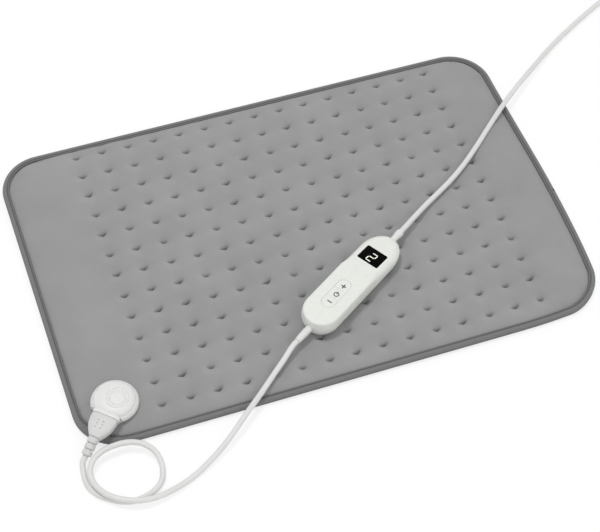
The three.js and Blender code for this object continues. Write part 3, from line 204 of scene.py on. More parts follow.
def grid_lines(start, tufts, end, reaches, steps):
    before, after = steps
    first, last = tufts[0] - reaches[-1], tufts[-1] + reaches[-1]
    lines = [start + (first - start) * step / before for step in range(before)]
    for tuft in tufts:
        lines += [tuft - reach for reach in reversed(reaches[1:])]
        lines += [tuft + reach for reach in reaches]
    return lines + [last + (end - last) * step / after for step in range(1, after + 1)]


def tuft_sag(x, y):
    share = min(max((x - TUFT_FIRST[0]) / (tuft_columns[-1] - TUFT_FIRST[0]), 0), 1)
    sag = TUFT_SAG * math.sin(math.pi * share) + TUFT_SKEW * x
    return sag * min((PAD_HALF[1] - SHEET_EDGE - abs(y)) / TUFT_SAG_RUN, 1)


def quilt_sheet():
    edge_x, edge_y = (half - SHEET_EDGE for half in PAD_HALF)
    columns = grid_lines(-edge_x, tuft_columns, edge_x, TUFT_ACROSS, SIDE_STEPS)
    rows = grid_lines(-edge_y, tuft_rows, edge_y, TUFT_ALONG, END_STEPS)
    bpy.ops.mesh.primitive_grid_add(x_subdivisions=len(columns) - 1, y_subdivisions=len(rows) - 1, size=2)
    sheet = bpy.context.object
    straight_x, straight_y = (half - PAD_CORNER for half in PAD_HALF)
    bend = PAD_CORNER - SHEET_EDGE
    for point in sheet.data.vertices:
        x = columns[round((point.co.x + 1) / 2 * (len(columns) - 1))]
        y = rows[round((point.co.y + 1) / 2 * (len(rows) - 1))]
        over_x = (abs(x) - straight_x) / bend
        over_y = (abs(y) - straight_y) / bend
        if over_x > 0 and over_y > 0:
            pull = max(over_x, over_y) / math.hypot(over_x, over_y)
            x = math.copysign(straight_x + over_x * pull * bend, x)
            y = math.copysign(straight_y + over_y * pull * bend, y)
        point.co = (x, y - tuft_sag(x, y), 0)
    return sheet


def pad_inset(point):
    over_x = abs(point.x) - PAD_HALF[0] + PAD_CORNER
    over_y = abs(point.y) - PAD_HALF[1] + PAD_CORNER
    return PAD_CORNER - math.hypot(max(over_x, 0), max(over_y, 0)) - min(max(over_x, over_y), 0)


def from_tuft(point):
    column = min(max(round((point.x - TUFT_FIRST[0]) / TUFT_PITCH[0]), 0), TUFT_COUNT[0] - 1)
    row = min(max(round((point.y - TUFT_FIRST[1]) / TUFT_PITCH[1]), 0), TUFT_COUNT[1] - 1)
    stray = noise.noise_vector(Vector((column * TUFT_SEED[0], row * TUFT_SEED[1], TUFT_SEED[2])))
    x, y = tuft_columns[column], tuft_rows[row]
    away = Vector((point.x - x, point.y - y + tuft_sag(x, y))) - stray.xy * TUFT_WANDER
    return away, stray.z


def hollow(reach, width, steepness=2):
    return math.exp(-((reach / width) ** steepness))


def eased(share):
    share = min(max(share, 0), 1)
    return share * share * (3 - 2 * share)


# Where the sewn edge strays from a true oblong: the place, how far it moves, over what run, and how wide a
# rim stays put.
EDGE_EASES = [
    (Vector((0.2135, -0.138)), Vector((-0.0026, 0.0036)), 0.036, 0),
    (Vector((-0.2135, -0.138)), Vector((0.0022, 0.002)), 0.022, 0.004),
    (Vector((0.224, -0.02)), Vector((0.003, 0)), 0.085, 0),
]


def ease_edges(piece):
    for point in piece.data.vertices:
        inset = max(pad_inset(point.co), 0)
        shift = Vector((0, 0))
        for place, move, run, edge in EDGE_EASES:
            held = min(inset / edge, 1) if edge else 1
            shift += move * held * hollow((point.co.xy - place).length, run)
        point.co += shift.to_3d()


def choose(piece):
    bpy.ops.object.select_all(action="DESELECT")
    piece.select_set(True)
    bpy.context.view_layer.objects.active = piece


def apply_modifier(piece, kind, **settings):
    choose(piece)
    bpy.ops.object.modifier_add(type=kind)
    added = piece.modifiers[-1]
    for name, value in settings.items():
        setattr(added, name, value)
    bpy.ops.object.modifier_apply(modifier=added.name)


def settle(piece, name, finish, body, slot, *stands_for):
    piece.name = piece.data.name = name
    piece.data.materials.append(finish)
    choose(piece)
    bpy.ops.object.transform_apply(location=True, rotation=True, scale=True)
    bpy.ops.object.shade_smooth_by_angle(angle=SMOOTH_ANGLE)
    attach(piece, body)
    if stands_for:
        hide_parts(*stands_for)


def fabric(name, dark, light, rough, scale, detail, strength, **constants):
    finish, start = new_finish(name, IOR=1.4, **constants)
    fibre = speckle(start, scale, detail)
    feed(
        finish,
        Base_Color=shades(start, fibre, dark, light),
        Roughness=fibre * 0.1 + rough,
        Normal=relief(start, fibre, strength, distance=0.0004),
    )
    return finish


backing = fabric(
    "grey_backing_fabric", (0.19, 0.19, 0.195), (0.25, 0.25, 0.255),
    rough=0.82, scale=700, detail=3, strength=0.3, Sheen_Weight=0.15, Sheen_Roughness=0.6,
)
back_sheet = quilt_sheet()
for point in back_sheet.data.vertices:
    fold = FOLD_RISE * eased((FOLD_START - pad_inset(point.co)) / FOLD_RUN)
    tuck = TUCK_RISE * hollow(from_tuft(point.co)[0].length, TUCK_WIDTH)
    point.co.z = BACK_LOW + fold + tuck
ease_edges(back_sheet)
apply_modifier(back_sheet, "SOLIDIFY", thickness=BACK_THICKNESS, offset=1)
settle(back_sheet, "back_cover_fabric", backing, "pad", "plush_fabric", "back_cover")

# Heater: insulated resistance wire laid in rows on a sheet of felt, with a thermal cut-out, a
# temperature sensor and their leads. It lies loose between the two covers.
felt = fabric(
    "white_felt", (0.62, 0.61, 0.58), (0.76, 0.75, 0.72), rough=0.85, scale=1400, detail=4, strength=0.4
)


def moulded(name, dark, light, rough, grain_scale=260):
    finish, start = new_finish(name, IOR=1.46)
    grain = speckle(start, scale=grain_scale, detail=3)
    feed(
        finish,
        Base_Color=shades(start, grain, dark, light),
        Roughness=grain * 0.14 + (rough - 0.07),
        Normal=relief(start, speckle(start, scale=2600), strength=0.06, distance=0.0002),
    )
    return finish


def dress(finish, *names):
    for name in names:
        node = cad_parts[name]
        node.data.materials.clear()
        node.data.materials.append(finish)


wire_jacket = moulded("ivory_wire_jacket", (0.60, 0.55, 0.46), (0.70, 0.65, 0.56), rough=0.45)
dark_plastic = moulded("dark_moulded_plastic", (0.02, 0.02, 0.022), (0.035, 0.035, 0.037), rough=0.5)
FELT_INSET = 0.003
FELT_LOW = 0.0025
FELT_THICKNESS = 0.0004
PAD_CORNER_STEPS = 24


# An oblong face with round corners, left open for editing.
def rounded_face(half_length, half_width, corner, steps):
    bpy.ops.mesh.primitive_plane_add(size=2)
    face = bpy.context.object
    face.scale = (half_length, half_width, 1)
    bpy.ops.object.transform_apply(location=False, rotation=False, scale=True)
    bpy.ops.object.mode_set(mode="EDIT")
    bpy.ops.mesh.bevel(offset=corner, segments=steps, affect="VERTICES")
    return face


def pad_outline(inset):
    return rounded_face(PAD_HALF[0] - inset, PAD_HALF[1] - inset, PAD_CORNER - inset, PAD_CORNER_STEPS)


carrier = pad_outline(FELT_INSET)
bpy.ops.mesh.select_all(action="SELECT")
bpy.ops.mesh.extrude_region_move(TRANSFORM_OT_translate={"value": (0, 0, FELT_THICKNESS)})
bpy.ops.mesh.select_all(action="SELECT")
bpy.ops.mesh.normals_make_consistent(inside=False)
bpy.ops.object.mode_set(mode="OBJECT")
ease_edges(carrier)
carrier.location.z = FELT_LOW
settle(carrier, "wire_carrier_felt", felt, "pad", "inner_felt", "wire_carrier")
dress(wire_jacket, "heating_wire", "feed_wire", "sensor_lead")
dress(dark_plastic, "thermal_cutout", "temperature_sensor")

# Top cover: soft short-pile fabric over wadding, welded through to the back at each tuft, so it
# puffs up between them. Its edge is caught under the binding. Painted shade, with a little
# darkening of crushed pile, darkens each tuft's pit; painted shade and a painted highlight lie round it.
CROWN = 0.009
CROWN_EDGE = 0.0039
CROWN_START = 0.0066
CROWN_RUN = 0.024
CROWN_TUCK = 0.3
COVER_THICKNESS = 0.0009
COVER_SLACK = 0.0004
LUMP_SCALE = 30
LUMP_HEIGHT = 0.0004
SEWN_EDGE = SHEET_EDGE * 1.05
SEWN_REACH = TUFT_ALONG[3]
SWELL_FRAMES = 20
SWELL_PRESSURE = 120
SWELL_MOST = 0.0016
COVER_STRETCH = 12
COVER_SHEAR = 4
COVER_BEND = 0.3
PULL_DEPTH = 0.0011
PULL_WIDTH = 0.008
DIP_DEPTH = 0.0014
DIP_NEAR = 0.002
DIP_FAR = 0.007
DIP_HEADING = math.radians(45)
WELD_DEPTH = 0.0022
WELD_TURN = math.radians(10)
WELD_CURVE = 50
WELD_LENGTH = 0.0034
WELD_NEAR = 0.0006
WELD_FAR = 0.0013
WELD_ENDS = 4
WELD_STRAY = 0.3
WELD_STRAY_TURN = 0.4
LIP_RISE = 0.0007
LIP_REACH = 0.0034
LIP_WIDTH = 0.0013
# Painted light and shade round each tuft: a painted highlight on its near rim and painted shade on its far
# side, added to the plush's tone.
LIT_RIM = (0.005, 0.003)
SHADE_HALO = 0.008
TUFT_SHADING_SHARE = 0.2
PILE_SHARE = 0.35
# Painted shade in each tuft's pit: the plush's colour is mixed toward near-black there, standing in for
# the shade in the pit, with a little darkening of crushed pile.
PIT_SHADE_SHARE = 0.6
PIT_SHADE_COLOR = (0.09, 0.09, 0.092, 1)


def crown_height(inset):
    share = min(max((inset - CROWN_START) / CROWN_RUN, 0), 1)
    tuck = CROWN_TUCK * max(CROWN_START - inset, 0)
    return CROWN_EDGE + (CROWN - CROWN_EDGE) * (1 - (1 - math.sqrt(share)) ** 2) - tuck


cover = quilt_sheet()
sewn = cover.vertex_groups.new(name="sewn")
for point in cover.data.vertices:
    inset = pad_inset(point.co)
    reach = from_tuft(point.co)[0].length
    uneven = noise.noise(point.co * LUMP_SCALE) * LUMP_HEIGHT
    pull = PULL_DEPTH * hollow(reach, PULL_WIDTH)
    point.co.z = crown_height(inset) - COVER_SLACK - pull + uneven * min(inset / CROWN_RUN, 1)
    if inset < SEWN_EDGE or reach < SEWN_REACH:
        sewn.add([point.index], 1, "REPLACE")
flat = [point.co.copy() for point in cover.data.vertices]
choose(cover)
bpy.ops.object.modifier_add(type="CLOTH")
cloth = cover.modifiers[-1]
cloth.settings.vertex_group_mass = "sewn"
cloth.settings.use_pressure = True
cloth.settings.uniform_pressure_force = SWELL_PRESSURE
cloth.settings.effector_weights.gravity = 0
cloth.settings.tension_stiffness = COVER_STRETCH
cloth.settings.compression_stiffness = COVER_STRETCH
cloth.settings.shear_stiffness = COVER_SHEAR
cloth.settings.bending_stiffness = COVER_BEND
cloth.collision_settings.use_collision = False
for step in range(1, SWELL_FRAMES + 1):
    scene.frame_set(step)
bpy.ops.object.modifier_apply(modifier=cloth.name)
scene.frame_set(1)
for point, was in zip(cover.data.vertices, flat):
    move = point.co - was
    if move.length > SWELL_MOST:
        point.co = was + move * (SWELL_MOST / move.length)
cover.vertex_groups.clear()


def weld_dent_shape(point):
    away, stray = from_tuft(point)
    turn = WELD_TURN + WELD_STRAY_TURN * stray
    along = away.x * math.cos(turn) + away.y * math.sin(turn)
    over = away.y * math.cos(turn) - away.x * math.sin(turn) - WELD_CURVE * along * along
    width = WELD_FAR if over > 0 else WELD_NEAR
    size = 1 + WELD_STRAY * stray
    return size * hollow(over, width) * hollow(along, WELD_LENGTH * size, WELD_ENDS)


def paint(piece, name, values):
    layer = piece.data.attributes.new(name, "FLOAT", "POINT")
    layer.data.foreach_set("value", values)


weld_dents_and_shade = []
tuft_light_and_shade = []
for point in cover.data.vertices:
    away = from_tuft(point.co)[0]
    far = 0.5 + 0.5 * math.cos(math.atan2(away.y, away.x) - DIP_HEADING)
    dip = DIP_DEPTH * hollow(away.length, DIP_NEAR + (DIP_FAR - DIP_NEAR) * far)
    lip = LIP_RISE * (1 - far) * hollow(away.length - LIP_REACH, LIP_WIDTH)
    weld_dents_and_shade.append(weld_dent_shape(point.co))
    painted_lit_rim = (1 - far) * hollow(away.length - LIT_RIM[0], LIT_RIM[1])
    tuft_light_and_shade.append(painted_lit_rim - far * hollow(away.length, SHADE_HALO))
    point.co.z += lip - dip - WELD_DEPTH * weld_dents_and_shade[-1]
# The weld's shape both dents the cover and sets where the painted pit shade goes.
paint(cover, "painted_pit_shade", weld_dents_and_shade)
paint(cover, "painted_tuft_light_and_shade", tuft_light_and_shade)
ease_edges(cover)
apply_modifier(cover, "SOLIDIFY", thickness=COVER_THICKNESS, offset=-1)
plush, start = new_finish("grey_plush", Sheen_Weight=0.25, Sheen_Roughness=0.5, IOR=1.4)
pile = speckle(start, scale=1500, detail=4)
stroke = speckle(start, scale=26, detail=3)


def painted(start, name):
    return start.node("ShaderNodeAttribute", {"attribute_name": name}, {}, "Fac")


def tinted(start, share, color, tint):
    return start.node("ShaderNodeMix", {"data_type": "RGBA"}, {0: share, 6: color, 7: tint}, 2)


# The plush's tone takes the painted light and shade round the tufts; its base colour below also takes the
# painted pit shade.
shade = pile * PILE_SHARE + stroke * (1 - PILE_SHARE) + painted(start, "painted_tuft_light_and_shade") * TUFT_SHADING_SHARE
shade = shades(start, shade, (0.262, 0.262, 0.264), (0.314, 0.314, 0.316))
feed(
    plush,
    Base_Color=tinted(start, painted(start, "painted_pit_shade") * PIT_SHADE_SHARE, shade, PIT_SHADE_COLOR),
    Roughness=pile * 0.1 + 0.85,
    Normal=relief(start, pile, strength=0.25, distance=0.0005),
)
settle(cover, "top_cover_fabric", plush, "pad", "plush_fabric", "top_cover")

# Binding: a folded fabric tape sewn round the edge of both covers, darker than the plush, with one
# row of stitches near its inner edge. Painted shade darkens its stitch groove, its inner edge and its
# foot. Its tucked-in end shows as a small knot on the right edge, painted near-black as painted
# shade for its fold.
TAPE_SECTION = [
    (0.006, 0.0002), (0.003, 0.0001), (0.0013, 0.0002), (0.0005, 0.0008), (0.0001, 0.0018), (0, 0.0027),
    (0.0001, 0.0036), (0.0005, 0.0046), (0.0013, 0.0053), (0.0023, 0.0056), (0.0031, 0.0055),
    (0.0036, 0.0052), (0.0039, 0.0048), (0.0042, 0.0048), (0.0045, 0.0051), (0.0049, 0.0054),
    (0.0054, 0.0053), (0.0058, 0.0047), (0.006, 0.0038),
]
TAPE_THICKNESS = 0.0008
TAPE_END_RINGS = [(-0.0015, 0.0003), (-0.001, 0.001), (0.001, 0.001), (0.0015, 0.0003)]
TAPE_END_PLACE = (0.2252, -0.0241, 0.0048)
EDGE_CUTS = 40
STITCH_INSET = 0.00405
SHADE_LINES = [(STITCH_INSET, 0.0006), (0.006, 0.0008)]
FOOT_SHADE_HEIGHT = 0.003
CREASE_SHADE_SHARE = 0.8
LINE_SHADE_SHARE = 0.6
RIB_SHARE = 0.4
CREASE_SHADE = (0.03, 0.03, 0.031, 1)
STITCH_HEIGHT = 0.00485
STITCH_LENGTH = 0.0024
STITCH_PITCH = 0.0032
STITCH_RADIUS = 0.00026
STITCH_TIP = 0.00012
STITCH_SHOULDER = 0.7


def edge_path(inset):
    path = pad_outline(inset)
    bpy.ops.mesh.delete(type="ONLY_FACE")
    outline = bmesh.from_edit_mesh(path.data)
    for edge in outline.edges:
        edge.select_set(edge.calc_length() > PAD_CORNER)
    bpy.ops.mesh.subdivide(number_cuts=EDGE_CUTS)
    bpy.ops.object.mode_set(mode="OBJECT")
    bpy.ops.object.convert(target="CURVE")
    return path


def drawn(name, route):
    bpy.ops.curve.primitive_bezier_curve_add()
    line = bpy.context.object
    line.name = name
    points = line.data.splines[0].bezier_points
    points.add(len(route) - 2)
    for point, place in zip(points, route):
        point.co = place
        point.handle_left_type = point.handle_right_type = "AUTO"
    return line


section = drawn("tape_section", [(-inset, height, 0) for inset, height in TAPE_SECTION])
section.data.resolution_u = 3
tape = edge_path(0)
tape.data.bevel_mode = "OBJECT"
tape.data.bevel_object = section
bpy.ops.object.convert(target="MESH")
bpy.data.objects.remove(section)


def close_up(piece):
    choose(piece)
    bpy.ops.object.mode_set(mode="EDIT")
    bpy.ops.mesh.select_all(action="SELECT")
    bpy.ops.mesh.remove_doubles(threshold=0.000005)
    bpy.ops.mesh.normals_make_consistent(inside=False)
    bpy.ops.object.mode_set(mode="OBJECT")


close_up(tape)
# Painted shade: the stitch groove, the inner edge against the plush and the tape's foot are mixed toward
# near-black, for the shade that falls there.
painted_crease_shade = []
for point in tape.data.vertices:
    inset = pad_inset(point.co)
    lines = [LINE_SHADE_SHARE * hollow(inset - line, width) for line, width in SHADE_LINES]
    painted_crease_shade.append(max(*lines, hollow(max(point.co.z, 0), FOOT_SHADE_HEIGHT)))
paint(tape, "painted_crease_shade", painted_crease_shade)
ease_edges(tape)
apply_modifier(tape, "SOLIDIFY", thickness=TAPE_THICKNESS, offset=-1)
tape_weave, start = new_finish("dark_grey_tape", Sheen_Weight=0.1, Sheen_Roughness=0.6, IOR=1.4)
ribs = start.node(
    "ShaderNodeTexWave",
    {"bands_direction": "DIAGONAL"},
    {
        "Vector": start.node("ShaderNodeTexCoord", {}, {}, "Object"),
        "Scale": 380.0,
        "Distortion": 1.5,
    },
)
weave = ribs * RIB_SHARE + speckle(start, scale=900, detail=3) * (1 - RIB_SHARE)
shade = shades(start, weave, (0.152, 0.152, 0.155), (0.202, 0.202, 0.205))
feed(
    tape_weave,
    Base_Color=tinted(start, painted(start, "painted_crease_shade") * CREASE_SHADE_SHARE, shade, CREASE_SHADE),
    Roughness=weave * 0.1 + 0.8,
    Normal=relief(start, weave, strength=0.35, distance=0.0004),
)
settle(tape, "edge_binding_tape", tape_weave, "pad", "binding_tape", "edge_binding")


# Pulls the flat shape at hand, one unit in size, up through the given steps into a closed body. A step is
# the way along, the two half widths and the rise.
def pulled(steps):
    piece = bpy.context.object
    bpy.ops.object.mode_set(mode="EDIT")
    bpy.ops.mesh.select_all(action="SELECT")
    was = (steps[0][0], 1, 1, 0)
    for number, (along, width, depth, rise) in enumerate(steps):
        move = (0, rise - was[3], along - was[0])
        if number > 0:
            bpy.ops.mesh.extrude_region_move(TRANSFORM_OT_translate={"value": move})
        else:
            bpy.ops.transform.translate(value=move)
        bpy.ops.transform.resize(
            value=(width / was[1], depth / was[2], 1), center_override=(0, rise, along)
        )
        was = (along, width, depth, rise)
    bpy.ops.mesh.select_all(action="SELECT")
    bpy.ops.mesh.normals_make_consistent(inside=False)
    bpy.ops.object.mode_set(mode="OBJECT")
    return piece


def turned(rings, sides):
    bpy.ops.mesh.primitive_circle_add(
        vertices=sides, radius=1, fill_type="NGON", location=(0, 0, rings[0][0])
    )
    return pulled([(along, radius, radius, 0) for along, radius in rings])


tip = STITCH_LENGTH / 2
shoulder = tip * STITCH_SHOULDER
stitches = turned([
    (-tip, STITCH_TIP), (-shoulder, STITCH_RADIUS), (shoulder, STITCH_RADIUS), (tip, STITCH_TIP),
], sides=6)
stitches.rotation_euler = (0, math.pi / 2, 0)
bpy.ops.object.transform_apply(location=True, rotation=True, scale=True)
path = edge_path(STITCH_INSET)
run = sum(spline.calc_length() for spline in path.data.splines)
apply_modifier(
    stitches, "ARRAY", count=round(run / STITCH_PITCH), use_relative_offset=False,
    use_constant_offset=True, constant_offset_displace=(STITCH_PITCH, 0, 0),
)
apply_modifier(stitches, "CURVE", object=path, deform_axis="POS_X")
bpy.data.objects.remove(path)
ease_edges(stitches)
stitches.location.z = STITCH_HEIGHT
thread = moulded(
    "dark_grey_thread", (0.07, 0.07, 0.072), (0.115, 0.115, 0.118), rough=0.7, grain_scale=1800
)
settle(stitches, "binding_stitches", thread, "pad", "binding_tape")
tape_end = turned(TAPE_END_RINGS, sides=12)
tape_end.rotation_euler = (math.pi / 2, 0, 0)
tape_end.location = TAPE_END_PLACE
# The tape end is near-black as painted shade, standing in for the shade in the tape's fold there.
shaded_tape_end_finish = moulded(
    "painted_shade_tape_end", (0.025, 0.025, 0.026), (0.045, 0.045, 0.046), rough=0.8, grain_scale=1800
)
settle(tape_end, "binding_tape_end", shaded_tape_end_finish, "pad", "binding_tape")

# Socket: a white moulded base riveted through the cover near the corner, a three-pin block on it and
# a domed housing with a round groove, snapped over the base. The plug goes into its open front.
SOCKET = Matrix.Translation((-0.1886, -0.1153, 0)) @ Matrix.Rotation(math.radians(226.4), 4, "Z")
SOCKET_FRONT = 0.014
SOCKET_MOUTH = ((-0.0093, -0.0079, 0.009), (0.02, 0.0079, 0.0169))
MOUTH_ROUNDING = 0.0006
FLANGE_RINGS = [
    (0.0093, 0.0176), (0.0095, 0.018), (0.0098, 0.0181), (0.0105, 0.0181), (0.0108, 0.0179),
    (0.0109, 0.0176), (0.0109, 0.016),
]
HOUSING_RINGS = [
    (0.0111, 0.0186), (0.0112, 0.0189), (0.0115, 0.019), (0.0122, 0.019), (0.0131, 0.0188),
    (0.0141, 0.0184), (0.0149, 0.0179), (0.0155, 0.0175), (0.0157, 0.0172), (0.0152, 0.0168),
    (0.0157, 0.0164), (0.0167, 0.016), (0.0174, 0.015), (0.018, 0.0138), (0.0186, 0.0124),
    (0.0191, 0.0108), (0.01932, 0.0097), (0.0193, 0.0092), (0.0188, 0.0087), (0.0193, 0.0082),
    (0.0194, 0.0078), (0.0194, 0.0072), (0.0193, 0.0068), (0.0188, 0.0063), (0.0193, 0.0058),
    (0.01945, 0.0054), (0.0195, 0.0045),
]
HOUSING_SHIFT = Vector((0.001, -0.001, 0))
DOME_LEAN = Vector((-0.0004, 0.0025, 0))
DOME_FOOT = 0.0164
DISC_RADIUS = 0.0097
white_plastic = moulded("white_moulded_plastic", (0.70, 0.70, 0.688), (0.746, 0.746, 0.733), rough=0.42)


def metal(name, dark, light, rough):
    finish, start = new_finish(name, Metallic=1.0)
    scuff = speckle(start, scale=500, detail=3)
    feed(finish, Base_Color=shades(start, scuff, dark, light), Roughness=scuff * 0.2 + rough)
    return finish


steel = metal("plated_steel", (0.58, 0.58, 0.57), (0.70, 0.70, 0.69), rough=0.2)
brass = metal("bare_brass", (0.70, 0.52, 0.24), (0.80, 0.62, 0.32), rough=0.22)
dress(white_plastic, "socket_clamp_plate")
dress(steel, "socket_rivet_1", "socket_rivet_2")
dress(dark_plastic, "socket_pin_block")
dress(brass, "socket_pin_1", "socket_pin_2", "socket_pin_3")


def carve(piece, cutter):
    apply_modifier(piece, "BOOLEAN", object=cutter, solver="EXACT")
    bpy.data.objects.remove(cutter)


def block(low, high, rounding):
    size = Vector(high) - Vector(low)
    bpy.ops.mesh.primitive_cube_add(size=1, location=(Vector(low) + Vector(high)) / 2)
    made = bpy.context.object
    made.scale = size
    bpy.ops.object.transform_apply(location=True, rotation=False, scale=True)
    apply_modifier(made, "BEVEL", width=rounding, segments=4)
    return made


def slice_off(piece, place, normal):
    choose(piece)
    bpy.ops.object.mode_set(mode="EDIT")
    bpy.ops.mesh.select_all(action="SELECT")
    bpy.ops.mesh.bisect(plane_co=place, plane_no=normal, use_fill=True, clear_outer=True)
    bpy.ops.object.mode_set(mode="OBJECT")


base = turned(FLANGE_RINGS, sides=96)
base.matrix_basis = SOCKET @ Matrix.Translation(HOUSING_SHIFT) @ base.matrix_basis
settle(base, "socket_base_flange", white_plastic, "pad", "white_plastic", "socket_base")
housing = turned(HOUSING_RINGS, sides=96)
for point in housing.data.vertices:
    inward = (DOME_FOOT - point.co.xy.length) / (DOME_FOOT - DISC_RADIUS)
    point.co += HOUSING_SHIFT + DOME_LEAN * min(max(inward, 0), 1)
slice_off(housing, (SOCKET_FRONT, 0, 0), (1, 0, 0))
carve(housing, block(*SOCKET_MOUTH, MOUTH_ROUNDING))
housing.matrix_basis = SOCKET @ housing.matrix_basis
settle(housing, "socket_domed_housing", white_plastic, "pad", "white_plastic", "socket_housing")

# Plug: two grey-white moulded shells round a contact carrier, with a collar that meets the socket and
# a neck that narrows to a ribbed boot. Six grip dots are moulded in the top.
ALONG = Matrix(((0, 0, 1, 0), (1, 0, 0, 0), (0, 1, 0, 0), (0, 0, 0, 1)))
COLLAR_STEPS = [
    (0.0143, 0.0105, 0.0044, 0.0143), (0.0145, 0.0111, 0.0049, 0.0143), (0.0149, 0.0113, 0.0051, 0.0143),
    (0.0172, 0.0113, 0.0051, 0.0143), (0.0176, 0.0112, 0.005, 0.0143), (0.0178, 0.0108, 0.0046, 0.0143),
]
PLUG_ROUNDING = 0.62
DOT_ROWS = [(0.0238, 0.0179), (0.0265, 0.0176), (0.0296, 0.0171)]
DOT_ACROSS = (-0.0024, 0.002)
DOT_RINGS = [(-0.004, 0.0006), (0, 0.0006)]
PLUG_STEPS = [
    (0.0172, 0.0098, 0.0039, 0.0143), (0.0181, 0.01, 0.0041, 0.0143), (0.0182, 0.0104, 0.0044, 0.0143),
    (0.0185, 0.0107, 0.00455, 0.0143), (0.0205, 0.01066, 0.00455, 0.01428),
    (0.0228, 0.0105, 0.0045, 0.01417), (0.0256, 0.01005, 0.0044, 0.01394),
    (0.0279, 0.0095, 0.0043, 0.01377),
    (0.0299, 0.0086, 0.0042, 0.0135), (0.0319, 0.0076, 0.0041, 0.01326), (0.0336, 0.0064, 0.004, 0.01298),
    (0.035, 0.0054, 0.0039, 0.01276), (0.0362, 0.0046, 0.0038, 0.01252), (0.0366, 0.0043, 0.0037, 0.01244),
    (0.0368, 0.0039, 0.0034, 0.0124),
]
PLUG_PARTING = 0.01335
PARTING_GAP = 0.00012
SHELL_EDGE = 0.0002
BOOT = Matrix.Translation((0.0368, 0, 0.0124)) @ Matrix.Rotation(math.radians(19), 4, "Y") @ ALONG
BOOT_START = (-0.0006, 0.0036)
BOOT_END = (0.015, 0.0025)
BOOT_PITCH = 0.005
BOOT_RADII = (0.0044, 0.0042, 0.004)
BOOT_RIB = [
    (0, -0.0003), (0.0003, 0), (0.0038, 0), (0.0041, -0.0003), (0.0042, -0.0014), (0.0049, -0.0014),
]
grey_plastic = moulded("grey_moulded_plastic", (0.59, 0.59, 0.577), (0.635, 0.635, 0.622), rough=0.55)


def soft_square(at, corner):
    bpy.ops.mesh.primitive_plane_add(size=2, location=(0, 0, at))
    face = bpy.context.object
    bpy.ops.object.mode_set(mode="EDIT")
    bpy.ops.mesh.bevel(offset=corner, segments=8, affect="VERTICES")
    bpy.ops.object.mode_set(mode="OBJECT")
    return face


def soften(piece, width):
    apply_modifier(
        piece, "BEVEL", width=width, segments=3, limit_method="ANGLE", angle_limit=math.radians(60)
    )


def ribbed(first, pitch, radii, profile):
    return [
        (first + number * pitch + along, radius + rise)
        for number, radius in enumerate(radii)
        for along, rise in profile
    ]


soft_square(COLLAR_STEPS[0][0], PLUG_ROUNDING)
collar = pulled(COLLAR_STEPS)
collar.matrix_basis = SOCKET @ ALONG @ collar.matrix_basis
settle(collar, "plug_collar_ring", white_plastic, "lead", "white_plastic")
for half, sign in (("upper", -1), ("lower", 1)):
    soft_square(PLUG_STEPS[0][0], PLUG_ROUNDING)
    shell = pulled(PLUG_STEPS)
    slice_off(shell, (0, PLUG_PARTING - sign * PARTING_GAP, 0), (0, sign, 0))
    soften(shell, SHELL_EDGE)
    if half == "upper":
        for along, height in DOT_ROWS:
            for across in DOT_ACROSS:
                dot = turned(DOT_RINGS, sides=16)
                stand = Matrix.Translation((across, height, along)) @ Matrix.Rotation(math.pi / 2, 4, "X")
                dot.matrix_basis = stand @ dot.matrix_basis
                carve(shell, dot)
    shell.matrix_basis = SOCKET @ ALONG @ shell.matrix_basis
    settle(shell, f"plug_{half}_moulding", grey_plastic, "lead", "grey_plastic", f"plug_{half}_shell")
dress(dark_plastic, "plug_contact_carrier")
dress(brass, "plug_contact_1", "plug_contact_2", "plug_contact_3")
ribs = ribbed(0, BOOT_PITCH, BOOT_RADII, BOOT_RIB)
boot = turned([BOOT_START, *ribs[:-1], BOOT_END], sides=32)
boot.matrix_basis = SOCKET @ BOOT @ boot.matrix_basis
settle(boot, "plug_ribbed_boot", grey_plastic, "lead", "grey_plastic", "plug_boot")

# Control: a hand unit of two white moulded shells, screwed together from below. The top is flat at the
# keys and slopes and rounds off towards the display.
CONTROL = Matrix.Translation((0.0222, -0.0713, 0.0093)) @ Matrix.Rotation(math.radians(32.6), 4, "Z")
CONTROL_HALF = (0.0567, 0.0165)
CONTROL_ROUNDS = (0.017, 0.022)
CREASE = 0.0057
SLOPE = math.radians(4.5)
CONTROL_TOP = 0.018
UPPER_LOW = 0.0097
ROUNDS_OFF = (0.0037, 0.0177)
LOWER_EDGE = [
    (0.0045, 0), (0.0036, 0.0003), (0.0026, 0.0009), (0.0019, 0.0017), (0.0015, 0.0026), (0.001, 0.0044),
    (0.0005, 0.0062), (0.0001, 0.0089), (0.0002, 0.0093), (0.0005, 0.0095),
]
LOWER_INSIDE = [(0.0044, 0.0018), (0.0032, 0.0032), (0.0022, 0.0062), (0.0019, 0.012)]
UPPER_EDGE = [
    (0.0005, UPPER_LOW), (0.0002, 0.0099), (0, 0.0103), (0.0002, 0.0125), (0.0005, 0.0148),
    (0.0008, 0.0164), (0.001, 0.017), (0.0013, 0.0174), (0.0017, 0.01775), (0.0022, 0.01795),
    (0.0027, CONTROL_TOP),
]
UPPER_FAR_EDGE = [
    (0.0005, UPPER_LOW), (0.0002, 0.0099), (0, 0.0103), (0.0002, 0.0118), (0.0006, 0.0134),
    (0.0013, 0.0149), (0.0022, 0.0161), (0.0033, 0.017), (0.0046, 0.0177), (0.006, CONTROL_TOP),
    (0.0064, CONTROL_TOP),
]
UPPER_INSIDE = [(0.0019, 0.007), (0.0021, 0.0135), (0.0028, 0.0152), (0.0042, 0.0162)]
UPPER_FAR_INSIDE = [(0.0019, 0.007), (0.0026, 0.013), (0.0046, 0.0152), (0.0068, 0.0162)]
LOFT_SIDES = 96
LOFT_CUTS = (CREASE - 0.0006, CREASE, CREASE + 0.0006, 0.0097, 0.0137, 0.0177, 0.0217, 0.0277)
